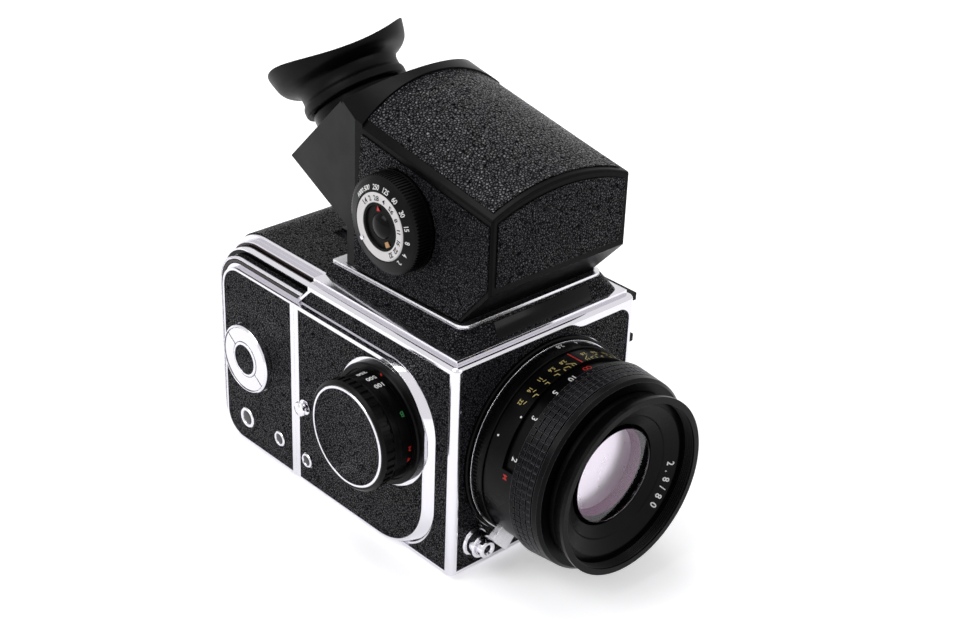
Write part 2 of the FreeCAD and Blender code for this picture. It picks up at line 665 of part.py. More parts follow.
def make_collar_leather():
    """The leather band on the sloping sides of the shoulder."""
    outer = shoulder("collar_band", s.leather)
    cut_tilted(outer, 0.0, s.seat_rise)
    band = doc.addObject("Part::Cut", "collar_leather")
    band.Base, band.Tool = outer, shoulder("collar_core")
    return keep(band, "collar_leather")


def compound(label, parts):
    group = doc.addObject("Part::Compound", label)
    group.Links = parts
    return keep(group, label)


def lens_part(label, points):
    """A part turned round the lens axis; heights run forward from the front of the shell."""
    return place(turned(label, points), 0.0, -s.shell_front, lens_height, FORWARD)


def make_strap_lugs():
    lugs = []
    for name, side, turn in (("lug_plain", 1, PLAIN_SIDE), ("lug_wind", -1, WIND_SIDE)):
        reach = s.lug_radius
        lug = turned_body(name, [
            (0, -s.panel_depth), (reach, -s.panel_depth), (reach, 0.3), (reach * 0.5, 0.6),
            (reach * 0.5, s.lug_height - 1.4), (reach, s.lug_height - 1.1),
            (reach * 0.9, s.lug_height - 0.5), (reach * 0.5, s.lug_height), (0, s.lug_height)])
        lugs.append(place(lug, side * plate_face, s.lug_y, s.lug_z, turn))
    return compound("strap_lugs", lugs)


def make_accessory_shoe():
    """A channel along Y whose two rails lip inward over the foot of an accessory."""
    body = new_body("accessory_shoe")
    gap = s.running_gap
    half, reach = s.shoe_width / 2 - gap, s.shoe_length / 2 - gap
    face = plate_face
    base = rectangle(new_sketch(body, "YZ_Plane", recess), s.shoe_y - reach, s.shoe_y + reach,
                     shoe_z - half, shoe_z + half)
    pad(body, base, face + s.shoe_rise - recess)
    channel = outline(new_sketch(body, "XZ_Plane", -s.shoe_y), [
        (face, shoe_z - half + s.shoe_rail), (face + s.shoe_rise - s.shoe_lip,
                                                shoe_z - half + s.shoe_rail),
        (face + s.shoe_rise - s.shoe_lip, shoe_z - half + s.shoe_rail + s.shoe_lip),
        (face + s.shoe_rise + 1, shoe_z - half + s.shoe_rail + s.shoe_lip),
        (face + s.shoe_rise + 1, shoe_z + half - s.shoe_rail - s.shoe_lip),
        (face + s.shoe_rise - s.shoe_lip, shoe_z + half - s.shoe_rail - s.shoe_lip),
        (face + s.shoe_rise - s.shoe_lip, shoe_z + half - s.shoe_rail),
        (face, shoe_z + half - s.shoe_rail)])
    pocket(body, channel, s.shoe_length + 4, both_ways=True)
    return keep(body, "accessory_shoe")


def make_sync_socket():
    r = s.sync_radius
    socket = turned_body("sync_socket", [
        (0, -s.panel_depth), (r, -s.panel_depth), (r, 0.5), (r * 0.8, 1.2), (r * 0.6, 1.2),
        (r * 0.6, 0.0), (r * 0.2, 0.0), (r * 0.2, 0.8), (0, 0.8)])
    return keep(place(socket, plate_face, s.sync_y, s.sync_z, PLAIN_SIDE), "sync_socket")


def make_focusing_screen():
    body = new_body("focusing_screen")
    half = s.screen_half - s.running_gap
    glass = rectangle(new_sketch(body, "XY_Plane", screen_seat), -half, half, -half, half)
    pad(body, glass, s.screen_thick)
    return keep(body, "focusing_screen")


def make_curtain():
    """The cloth in front of the film gate, between the two drums."""
    body = new_body("shutter_curtain")
    half = s.slot_half - 0.5
    cloth = rectangle(new_sketch(body, "XY_Plane", s.chamber_low), -half, half,
                      s.seam - s.gate_wall - s.curtain_thick, s.seam - s.gate_wall)
    pad(body, cloth, chamber_high - s.chamber_low)
    return keep(body, "shutter_curtain")


def make_drum(label, side):
    """A shutter drum on two pins that run in the floor and the roof of the slot."""
    low, high = s.axial_gap, chamber_high - s.chamber_low + 2 - s.axial_gap
    grip = s.pin_grip - s.axial_gap
    drum = turned(label, [
        (0, -grip), (s.pin_radius, -grip), (s.pin_radius, low), (s.drum_radius, low),
        (s.drum_radius, low + 2), (s.drum_radius - 0.4, low + 2), (s.drum_radius - 0.4, high - 2),
        (s.drum_radius, high - 2), (s.drum_radius, high), (s.pin_radius, high),
        (s.pin_radius, high + grip), (0, high + grip)])
    return place(drum, side * s.drum_x, s.drum_y, s.chamber_low - 1)


def make_mirror():
    """The mirror lies at 45 degrees below its pivot and swings up under the screen."""
    tilt = Rotation(Vector(1, 0, 0), 45)
    frame = new_body("mirror_frame")
    half = s.mirror_half + 1.5
    plate = rectangle(new_sketch(frame, "XY_Plane", -s.mirror_frame_thick), -half, half,
                      -s.mirror_length, s.pin_radius)
    pad(frame, plate, s.mirror_frame_thick)
    pin = circle(new_sketch(frame, "YZ_Plane"), 0, 0, s.pin_radius)
    pad(frame, pin, (s.chamber_half + s.pin_grip - s.axial_gap) * 2, both_ways=True)
    place(frame, 0.0, s.mirror_pivot_y, pivot_z, tilt)
    glass = new_body("mirror_glass")
    face = rectangle(new_sketch(glass, "XY_Plane"), -s.mirror_half, s.mirror_half,
                     -s.mirror_length + 0.6, -s.pin_radius - 1.0)
    pad(glass, face, s.mirror_glass_thick)
    place(glass, 0.0, s.mirror_pivot_y, pivot_z, tilt)
    return keep(frame, "mirror_frame"), keep(glass, "mirror_glass")


def make_lens_mount():
    bore = s.mount_bore + 1.5
    return lens_part("lens_mount_ring", [
        (bore, -s.panel_depth), (s.mount_radius, -s.panel_depth),
        (s.mount_radius, s.mount_proud - 0.4), (s.mount_radius - 0.4, s.mount_proud),
        (bore, s.mount_proud)])


def make_release():
    r = s.release_radius
    inner = r + s.running_gap
    sleeve = turned("release_sleeve", [
        (inner, -s.panel_depth), (s.release_flange, -s.panel_depth), (s.release_flange, 0.5),
        (s.release_flange - 0.5, 1.0), (r + 1.3, 1.0), (r + 1.3, 4.2), (r + 0.9, 4.6),
        (inner, 4.6)])
    button = turned("release_button", [
        (0, -2.9), (r, -2.9), (r, s.release_proud - 0.6), (r - 0.5, s.release_proud),
        (s.cable_bore + 0.6, s.release_proud), (s.cable_bore, s.release_proud - 0.6),
        (s.cable_bore, s.release_proud - 0.6 - s.cable_depth),
        (0, s.release_proud - 0.6 - s.cable_depth)])
    for item in (sleeve, button):
        place(item, s.release_x, -s.shell_front, s.release_z, FORWARD)


def turned_body(label, points):
    """A turned part that is only one piece of a sub-part."""
    body = turned(label, points)
    del nodes[label]
    return body


# Winding knob with the shutter speed collar

def knob_part(label, points):
    return place(turned(label, points), -plate_face, s.knob_y, s.knob_z, WIND_SIDE)


def make_knob_stack():
    dish = new_body("knob_dish")
    plane = -(plate_face - s.dish_depth)
    disc = circle(new_sketch(dish, "YZ_Plane", plane), s.knob_y, s.knob_z, s.dish_radius)
    pad(dish, disc, s.dish_depth - 0.2, reversed_way=True)
    trim = rectangle(new_sketch(dish, "YZ_Plane", plane), -s.shell_front, -s.plate_front,
                     s.knob_z - s.dish_radius - 1, s.knob_z + s.dish_radius + 1)
    pocket(dish, trim, s.dish_depth + 1)
    hole = circle(new_sketch(dish, "YZ_Plane", plane), s.knob_y, s.knob_z,
                  s.knob_shaft + s.running_gap)
    pocket(dish, hole, s.dish_depth + 1)
    keep(dish, "knob_dish")
    bore = s.knob_shaft + s.running_gap
    flange, top = s.flange_radius, s.flange_height
    knob_part("index_flange", [
        (bore, -0.2), (flange, -0.2), (flange, top - 0.5), (flange - 0.5, top),
        (s.speed_radius + 1.0, top), (s.speed_radius + 0.8, top - 0.6),
        (s.speed_radius + 0.3, top - 0.6), (s.speed_radius + 0.3, top), (bore, top)])
    low, high = top + s.axial_gap, top + s.axial_gap + s.speed_height
    r = s.speed_radius
    knob_part("speed_collar", [
        (bore, low), (r, low), (r, low + 4.6), (r + 0.2, low + 4.8), (r + 0.2, high - 0.2),
        (r, high), (bore, high)])
    base, face = high + s.axial_gap, high + s.axial_gap + s.knob_height
    outer, ring = s.knob_radius, s.knob_ring
    knob = knob_part("wind_knob", [
        (0, -s.plate_proud - s.panel_depth + s.axial_gap),
        (s.knob_shaft, -s.plate_proud - s.panel_depth + s.axial_gap), (s.knob_shaft, base),
        (outer - 0.6, base), (outer, base + 0.6), (outer, face - 1.2), (outer - 1.0, face - 0.2),
        (ring, face - 0.2), (ring, face - s.knob_groove - 0.6), (0, face - s.knob_groove - 0.6)])
    ribbed(knob, outer, base + 0.5, face - 1.6, 0.6, s.knob_slot, s.knob_ribs)
    floor_height = face - s.knob_groove - 0.6
    knob_part("knob_ring", [
        (ring - s.knob_ring_width, floor_height), (ring, floor_height), (ring, face - 0.2),
        (ring - 0.2, face), (ring - s.knob_ring_width, face)])
    cover = ring - s.knob_ring_width
    knob_part("knob_leather", [
        (0, floor_height), (cover, floor_height), (cover, floor_height + s.leather),
        (0, floor_height + s.leather)])


def window(label, y, z, radius):
    """A small round window in a rim, on the leather of the wind side."""
    item = turned_body(label, [
        (0, -s.panel_depth), (radius, -s.panel_depth), (radius, 0.1), (radius - 0.3, 0.4),
        (radius * 0.72, 0.4), (radius * 0.66, 0.0), (0, 0.0)])
    return place(item, -plate_face, y, z, WIND_SIDE)


# Standard lens

def sector(label, points, start, sweep):
    """A turned piece that covers only a sweep of angle, from a start angle, on the lens axis."""
    body = new_body(label)
    sketch = outline(new_sketch(body, "XZ_Plane"), points)
    feature = body.newObject("PartDesign::Revolution", "turning")
    feature.Profile = sketch
    feature.ReferenceAxis = (sketch, ["V_Axis"])
    bind(feature, "Angle", sweep)
    turn = FORWARD.multiply(Rotation(Vector(0, 0, 1), as_number(start)))
    return place(body, 0.0, -s.shell_front, lens_height, turn)


def make_lens():
    gap = s.running_gap
    core, tube = s.ring_radius - s.ring_wall, s.tube_outer
    barrel = lens_part("barrel_blank", [
        (tube - s.tube_wall, 0.0), (tube - s.tube_wall, -3.0), (s.glass_rear_radius, -3.0),
        (s.glass_rear_radius, -s.lens_back), (s.rear_shroud, -s.lens_back),
        (s.rear_shroud, -s.front_wall + 0.5), (s.mount_bore + 1.5 - gap, -s.front_wall + 0.5),
        (s.mount_bore + 1.5 - gap, s.ring_start - 0.1), (core, s.ring_start - 0.1),
        (core, s.ring_end + 0.1), (s.barrel_radius, s.ring_end + 0.1),
        (s.barrel_radius, s.barrel_end), (s.skirt_radius + gap, s.barrel_end),
        (s.skirt_radius + gap, s.web_front), (tube, s.web_front), (tube, s.tube_front),
        (tube - s.tube_wall, s.tube_front)])
    del nodes["barrel_blank"]
    scale_window = sector("scale_window", [
        (s.skirt_radius - 2, s.scale_start), (s.barrel_radius + 2, s.scale_start),
        (s.barrel_radius + 2, s.barrel_end + 2), (s.skirt_radius - 2, s.barrel_end + 2)],
        s.window_from, s.window_sweep)
    tab_slot = sector("tab_slot", [
        (s.tab_root - gap, s.tab_low - gap), (s.barrel_radius + 1, s.tab_low - gap),
        (s.barrel_radius + 1, s.tab_high + gap), (s.tab_root - gap, s.tab_high + gap)],
        SIZES["tab_angle"] - SIZES["tab_sweep"] / 2 - 1, s.tab_sweep + s.tab_travel + 2)
    cutters = doc.addObject("Part::MultiFuse", "barrel_cutters")
    cutters.Shapes = [scale_window, tab_slot]
    cut = doc.addObject("Part::Cut", "lens_barrel")
    cut.Base, cut.Tool = barrel, cutters
    keep(cut, "lens_barrel")
    keep(sector("stop_down_tab", [
        (s.tab_root, s.tab_low), (s.tab_tip, s.tab_low), (s.tab_tip, s.tab_high),
        (s.tab_root, s.tab_high)], SIZES["tab_angle"] - SIZES["tab_sweep"] / 2, s.tab_sweep),
        "stop_down_tab")
    rear = s.glass_rear_radius - gap
    lens_part("rear_element", [
        (0, -s.lens_back + 0.8), (rear, s.rear_rim - s.lens_back), (rear, -s.rear_front),
        (0, s.rear_dome - s.rear_front)])
    aperture = lens_part("aperture_ring", [
        (core + gap, s.ring_start), (s.ring_radius - 0.5, s.ring_start),
        (s.ring_radius, s.ring_start + 0.5), (s.ring_radius, s.ring_end - 0.2),
        (s.ring_radius - 0.2, s.ring_end), (core + gap, s.ring_end)])
    ribbed(aperture, s.ring_radius, s.ring_start + s.knurl_start,
           s.ring_start + s.knurl_start + s.knurl_width, 0.4, s.ring_groove,
           s.ring_ribs)
    taper = (s.focus_radius - s.focus_nose_radius) / (s.focus_end - s.barrel_end)
    points = [(s.front_tube + gap, s.focus_back), (s.skirt_radius, s.focus_back),
              (s.skirt_radius, s.barrel_end + 0.1), (s.focus_radius, s.barrel_end + 0.1)]
    row = (s.focus_end - s.barrel_end) / 5
    for i in range(1, 5):
        edge = s.barrel_end + row * i
        radius = s.focus_radius - taper * (row * i)
        points += [(radius, edge - 0.3), (radius - s.knurl_depth, edge - 0.2),
                   (radius - s.knurl_depth, edge + 0.2), (radius, edge + 0.3)]
    points += [(s.focus_nose_radius, s.focus_end), (s.focus_nose, s.front_start),
               (s.front_tube + gap, s.front_start)]
    focus = lens_part("focus_ring", points)
    ribbed(focus, s.focus_radius - 0.2, s.barrel_end + 0.9, s.focus_end - 0.4,
           s.knurl_depth, s.focus_groove, s.focus_ribs)
    lens_part("front_barrel", [
        (tube + gap, s.web_front + 0.3), (s.front_tube, s.web_front + 0.3),
        (s.front_tube, s.front_start + 0.3), (s.front_waist, s.front_start + 0.6),
        (s.front_waist, s.front_start + 2.6), (s.front_radius, s.front_end - 1.4),
        (s.front_radius, s.front_end), (s.filter_radius, s.front_end),
        (s.filter_radius, s.name_front), (s.name_outer + gap, s.name_front),
        (s.name_outer + gap, s.glass_seat), (s.front_glass_radius + gap, s.glass_seat),
        (s.front_glass_radius + gap, s.glass_seat - 3), (s.glass_radius - 1, s.glass_seat - 3),
        (s.glass_radius - 1, s.tube_front + 0.3), (tube + gap, s.tube_front + 0.3)])
    lens_part("name_ring", [
        (s.glass_radius, s.glass_seat), (s.name_outer, s.glass_seat),
        (s.name_outer, s.name_front), (s.name_inner, s.name_back),
        (s.name_inner - 0.3, s.name_back - 0.4), (s.glass_radius, s.glass_front)])
    rim = s.glass_radius - 0.2
    lens_part("front_element", [
        (0, s.glass_seat - 2), (s.glass_radius - 1.2, s.glass_seat - 2),
        (s.glass_radius - 1.2, s.glass_seat - 3), (s.front_glass_radius, s.glass_seat - 3),
        (s.front_glass_radius, s.glass_seat), (rim, s.glass_seat),
        (rim, s.glass_front - 0.4, s.dome_radius),
        (0, s.glass_front - 0.4 + s.dome_radius - root(s.dome_radius * s.dome_radius
                                                        - rim * rim))])


# Prism finder and its exposure dial

def roof_solid(label, lift=0.0):
    """The arched roof: a loft from the nose back past the crest; lift raises its top."""
    body = new_body(label)
    run = s.rear_y + 1 + s.finder_nose
    edge_rise = (ridge_edge - nose_high) / (s.ridge_y + s.finder_nose)
    crown_rise = (ridge_crown - nose_crown) / (s.ridge_y + s.finder_nose)
    sections = []
    for offset, edge, crown in (
            (s.finder_nose, nose_high, nose_crown),
            (-s.rear_y - 1, nose_high + edge_rise * run, nose_crown + crown_rise * run)):
        sketch = new_sketch(body, "XZ_Plane", offset)
        rise = crown - edge
        radius = (s.finder_half * s.finder_half + rise * rise) / (rise * 2)
        sections.append(outline(sketch, [
            (s.finder_half, edge + lift, radius), (-s.finder_half, edge + lift),
            (-s.finder_half, finder_base), (s.finder_half, finder_base)]))
    loft = body.newObject("PartDesign::AdditiveLoft", "arch")
    loft.Profile = sections[0]
    loft.Sections = [sections[1]]
    loft.Ruled = True
    return body


def finder_side(label, points):
    """A side outline of the finder, as wide as the finder and tapered to the back."""
    side = new_body(label)
    pad(side, outline(new_sketch(side, "YZ_Plane"), points), s.finder_half * 2, both_ways=True)
    wide = s.finder_half + 3
    for sign in (1, -1):
        wedge = new_sketch(side, "XY_Plane", finder_base)
        outline(wedge, [
            (sign * s.finder_half, s.taper_start), (sign * wide, s.taper_start),
            (sign * wide, s.rear_y + 1), (sign * s.rear_half, s.rear_y + 1),
            (sign * s.rear_half, s.rear_y)])
        pocket(side, wedge, crest_z - finder_base + s.seat_rise, reversed_way=True)
    return side


def make_finder():
    """The housing is its side outline, cut to the arched roof and tapered to the back."""
    side = finder_side("finder_side", [
        (-s.finder_throat, finder_base), (s.finder_heel, finder_base),
        (s.finder_heel, heel_high), (s.rear_y, rear_z), (s.slope_y, slope_z),
        (s.crest_y, crest_z), (-s.finder_nose, crest_z), (-s.finder_nose, nose_low),
        (-s.finder_throat, finder_base + s.throat_rise)])
    arch = roof_solid("finder_arch")
    common = doc.addObject("Part::Common", "finder_block")
    common.Base, common.Tool = side, arch
    doc.recompute()

    def soft(middle, edge):
        near_side = abs(abs(middle.x) - as_number(s.finder_half)) < 0.05
        nose = middle.y < -as_number(s.finder_nose) + 0.05
        high = middle.z > as_number(nose_low) + 1
        return high and middle.y < as_number(s.ridge_y) and (near_side or nose)

    soft_edges = doc.addObject("Part::Fillet", "finder_soft")
    soft_edges.Base = common
    names = edges_near(common.Shape, soft)
    round_size = SIZES["finder_round"]
    soft_edges.Edges = [(int(name[4:]), round_size, round_size) for name in names]
    ridge_top = slope_z + back_slope * (s.slope_y - s.ridge_y)
    ridge_side = finder_side("ridge_side", [
        (s.ridge_y, heel_high), (s.slope_y, heel_high), (s.slope_y, slope_z),
        (s.ridge_y, ridge_top)])
    ridge = doc.addObject("Part::Common", "ridge")
    ridge.Base, ridge.Tool = ridge_side, roof_solid("ridge_arch", s.ridge_lift)
    outer = doc.addObject("Part::Fuse", "finder_outer")
    outer.Base, outer.Tool = soft_edges, ridge
    outer.Refine = True
    glass_room = new_body("glass_room")
    half = s.prism_half
    room = outline(new_sketch(glass_room, "YZ_Plane"), [
        (-half, finder_base - 1), (half, finder_base - 1), (half, prism_back_high),
        (0, prism_top), (-half, prism_front_high)])
    pad(glass_room, room, half * 2, both_ways=True)
    bore = eye_part("eye_bore", [(0, -s.eye_depth), (s.eye_clear, -s.eye_depth),
                                 (s.eye_clear, 1.0), (0, 1.0)])
    del nodes["eye_bore"]
    channel = new_body("light_channel")
    tunnel = circle(new_sketch(channel, "XZ_Plane", 1 - half), 0,
                    prism_back_high - s.channel_drop, s.channel_radius)
    pad(channel, tunnel, s.channel_end - half + 1, reversed_way=True)
    tools = doc.addObject("Part::MultiFuse", "finder_cuts")
    tools.Shapes = [glass_room, bore, channel]
    housing = doc.addObject("Part::Cut", "prism_housing")
    housing.Base, housing.Tool = outer, tools
    keep(housing, "prism_housing")
    glass = new_body("prism_glass")
    gap = s.running_gap
    block = outline(new_sketch(glass, "YZ_Plane"), [
        (-half + gap, finder_base), (half - gap, finder_base),
        (half - gap, prism_back_high - 0.1), (0, prism_top - 0.1),
        (-half + gap, prism_front_high - 0.1)])
    pad(glass, block, (half - gap) * 2, both_ways=True)
    keep(glass, "prism_glass")


def make_finder_leathers():
    raised = roof_solid("roof_raised", s.leather)
    level = roof_solid("roof_level", s.skin_gap)
    skin = doc.addObject("Part::Cut", "roof_skin")
    skin.Base, skin.Tool = raised, level
    region = new_body("roof_region")
    inset = s.finder_round + s.roof_border
    area = rectangle(new_sketch(region, "XY_Plane", finder_base), -s.finder_half + inset,
                     s.finder_half - inset, -s.finder_nose + inset, s.ridge_y - s.skin_gap)
    pad(region, area, crest_z - finder_base)
    roof = doc.addObject("Part::Common", "roof_leather")
    roof.Base, roof.Tool = skin, region
    keep(roof, "roof_leather")
    sides = []
    border = s.finder_round + s.skin_gap
    rise = (ridge_edge - nose_high) / (s.ridge_y + s.finder_nose)
    for name, side in (("finder_leather_plain", 1), ("finder_leather_wind", -1)):
        body = new_body(name)
        sheet_side = outline(new_sketch(body, "YZ_Plane", side * s.finder_half), [
            (-s.finder_throat + 1, finder_base + s.side_low_front),
            (s.taper_start, finder_base + s.side_low_back), (s.taper_start, heel_high),
            (s.ridge_y, ridge_edge - inset),
            (border - s.finder_nose, nose_high + rise * border - inset),
            (border - s.finder_nose, nose_low + s.roof_border)])
        pad(body, sheet_side, s.leather, reversed_way=side < 0)
        if side < 0:
            hole = circle(new_sketch(body, "YZ_Plane", -s.finder_half), s.dial_y, dial_z,
                          s.dial_radius + s.leather_gap)
            pocket(body, hole, s.leather + 1)
        sides.append(body)
    compound("prism_side_leathers", sides)
    nose = new_body("prism_front_leather")
    half = s.finder_half - inset
    crown = nose_crown - nose_high
    radius = (s.finder_half * s.finder_half + crown * crown) / (crown * 2)
    sheet_front = outline(new_sketch(nose, "XZ_Plane", s.finder_nose), [
        (half, nose_high - s.roof_border, radius), (-half, nose_high - s.roof_border),
        (-half, nose_low + inset), (half, nose_low + inset)])
    pad(nose, sheet_front, s.leather)
    keep(nose, "prism_front_leather")


EYE_TURN = Rotation(Vector(1, 0, 0), -math.degrees(math.atan(as_number(back_slope))))
CUP_TURN = EYE_TURN.multiply(Rotation(Vector(0, 0, 1), SIZES["saddle_turn"]))


def eye_part(label, points, turn=EYE_TURN):
    """A part on the eyepiece axis, which stands square on the sloping back of the finder."""
    part_y = s.slope_y + s.eye_run
    part_z = slope_z - back_slope * s.eye_run
    return place(turned(label, points), 0.0, part_y, part_z, turn)


def make_eyepiece():
    gap = s.running_gap
    neck, seat = s.tube_radius - 1.4, s.eye_seat
    rim = s.tube_height + 1
    eye_part("eyepiece_tube", [
        (s.tube_bore - 1, 0), (s.tube_radius, 0), (s.tube_radius, s.cup_start - 0.6),
        (neck, s.cup_start - 0.2), (neck, rim), (s.tube_bore, rim), (s.tube_bore, seat),
        (s.tube_bore - 1, seat)])
    lens = s.tube_bore - gap
    eye_part("eyepiece_lens", [
        (0, seat), (lens, seat), (lens, seat + s.eye_lens_edge), (0, seat + s.eye_lens_dome)])
    bore, wall, edge = neck + gap, s.cup_wall, s.cup_edge
    start = s.cup_start
    bead, waist = start + s.cup_bead_height, start + s.cup_waist_height
    flare, inside = start + s.cup_flare_height, rim + edge
    cup = eye_part("eyecup", [
        (bore, start), (s.cup_bead - edge, start), (s.cup_bead, start + edge),
        (s.cup_bead, bead), (s.cup_bead - edge, bead + edge), (s.cup_waist, bead + edge * 2),
        (s.cup_waist, waist), (s.cup_flare, flare), (s.cup_lip, s.cup_top),
        (s.cup_lip - wall, s.cup_top), (s.cup_flare - wall, flare + edge),
        (s.cup_waist - wall, waist + edge), (s.cup_waist - wall, inside), (bore, inside)],
        CUP_TURN)
    saddle = new_sketch(cup, "XZ_Plane")
    radius = s.saddle_radius
    reach = s.cup_lip + 3
    high = s.saddle_low + radius - root(radius * radius - reach * reach)
    outline(saddle, [(-reach, high, radius), (reach, high), (reach, s.cup_top + 10),
                     (-reach, s.cup_top + 10)])
    pocket(cup, saddle, reach * 2, both_ways=True)


def make_dial():
    def dial_part(label, points):
        return place(turned(label, points), -s.finder_half, s.dial_y, dial_z, WIND_SIDE)

    gap = s.running_gap
    inner, middle, outer = s.stop_inner, s.stop_outer, s.dial_radius
    base, top = s.dial_base, s.dial_height
    dial_part("meter_index_disc", [
        (0, 0), (outer - 0.4, 0), (outer - 0.4, base), (inner, base), (inner, top - 0.3),
        (inner - 0.9, top - 0.3), (inner - 1.2, top - 1.0), (0, top - 0.8)])
    low = base + s.axial_gap
    dial_part("meter_stop_ring", [
        (inner + gap, low), (middle, low), (middle, top - 0.4), (middle - 0.4, top),
        (inner + gap, top - 0.2)])
    ring = dial_part("meter_speed_ring", [
        (middle + gap, low), (outer, low), (outer, s.dial_shoulder),
        (outer - 1.4, s.dial_shoulder + 0.8), (middle + 0.6, top - 0.4),
        (middle + gap, top - 0.4)])
    ribbed(ring, outer, low + 0.5, s.dial_shoulder + 1.0, 0.5, s.dial_groove,
           s.dial_ribs)


# Film magazine

def magazine_outline(sketch, step, inset=0.0, front=None):
    """The side outline of the magazine in (Y, Z), grown by a step at the top and the back."""
    begin = s.seam if front is None else front
    return side_panel(sketch, s.seam + s.magazine_depth + step - inset, begin,
                      floor + inset, plate_top + step - inset, s.magazine_round - inset,
                      s.magazine_round + step - inset)


def nose(sketch, step):
    """The forward end of a layer, which lies over the slope at the back of the body."""
    high = plate_top + step
    rear = s.seam + 1
    slope = step_low + s.step_gap
    if as_number(high) > as_number(step_high):
        ends = [(s.step_y + s.step_gap, high), (s.step_y + s.step_gap, step_high)]
    else:
        ends = [(s.seam + slope - high, high)]
    return outline(sketch, [(rear, slope - 1), (rear, high)] + ends)


def layer(body, half, step):
    pad(body, magazine_outline(new_sketch(body, "YZ_Plane"), step), half * 2, both_ways=True)
    return pad(body, nose(new_sketch(body, "YZ_Plane"), step), half * 2, both_ways=True)


def skin_front(step):
    """Where the leather on a layer ends in front, a little behind the end of the nose."""
    high = plate_top + step
    if as_number(high) > as_number(step_high):
        return s.step_y + s.skin_start
    return s.seam + step_low + s.skin_start - high


def make_magazine_shell():
    body = new_body("magazine_shell")
    for half, step in ((s.centre_half, s.centre_step), (s.rail_half, s.rail_step),
                       (s.band_half, s.band_step), (s.strip_half, s.strip_step)):
        layer(body, half, step)
    plate = magazine_outline(new_sketch(body, "YZ_Plane", s.strip_half), 0.0)
    pad(body, plate, s.plate_proud)
    panel = magazine_outline(new_sketch(body, "YZ_Plane", plate_face - s.panel_depth), 0.0,
                             s.plate_frame, s.seam + s.slide_frame)
    pocket(body, panel, s.panel_depth + 1, reversed_way=True)
    inside = side_panel(new_sketch(body, "YZ_Plane", -s.strip_half),
                        s.seam + s.magazine_depth - s.film_wall, s.seam + s.slide_wall,
                        floor + s.film_wall, plate_top - s.film_wall,
                        s.magazine_round - s.film_wall)
    pocket(body, inside, s.strip_half * 2 - s.film_wall, reversed_way=True)
    gate = rectangle(new_sketch(body, "XZ_Plane", -s.seam), -s.gate_half, s.gate_half,
                     lens_height - s.gate_half, lens_height + s.gate_half)
    pocket(body, gate, s.slide_wall + 1)
    slot_low = s.seam + s.slide_offset
    slot = rectangle(new_sketch(body, "XZ_Plane", -slot_low), -s.slide_half - 0.3,
                     plate_face + 1, lens_height - s.slide_half - 0.1,
                     lens_height + s.slide_half + 0.1)
    pocket(body, slot, s.slide_thick + s.running_gap * 2)
    room = rectangle(new_sketch(body, "XY_Plane", plate_top + s.centre_step - s.catch_sunk),
                     -s.catch_half - s.catch_travel, s.catch_half,
                     s.catch_y - s.catch_width / 2 - s.running_gap,
                     s.catch_y + s.catch_width / 2 + s.running_gap)
    pocket(body, room, s.catch_sunk + 1, reversed_way=True)
    return keep(body, "magazine_shell")


def make_magazine_catch():
    body = new_body("magazine_catch")
    low = plate_top + s.centre_step - s.catch_sunk
    block = rectangle(new_sketch(body, "XY_Plane", low), -s.catch_half, s.catch_half - 0.1,
                      s.catch_y - s.catch_width / 2, s.catch_y + s.catch_width / 2)
    pad(body, block, s.catch_sunk + s.catch_rise)
    for i in range(3):
        middle = -s.catch_half + 3.0 + s.catch_pitch * i
        groove = rectangle(new_sketch(body, "XZ_Plane"), middle - 0.5, middle + 0.5,
                           low + s.catch_sunk + s.catch_rise - 0.6,
                           low + s.catch_sunk + s.catch_rise + 1)
        pocket(body, groove, (s.catch_y + s.catch_width) * 2, both_ways=True)
    return keep(body, "magazine_catch")


def make_dark_slide():
    body = new_body("dark_slide")
    near = s.seam + s.slide_offset + s.running_gap
    blade = rectangle(new_sketch(body, "XZ_Plane", -near), -s.slide_half, plate_face + 1.5,
                      lens_height - s.slide_half, lens_height + s.slide_half)
    pad(body, blade, s.slide_thick, reversed_way=True)
    grip = rectangle(new_sketch(body, "XZ_Plane", -near + s.grip_bulge), plate_face + 0.6,
                     plate_face + 0.6 + s.grip_width, lens_height - s.slide_half + 2,
                     lens_height + s.slide_half - 2)
    pad(body, grip, s.slide_thick + s.grip_bulge * 2, reversed_way=True)
    return keep(body, "dark_slide")


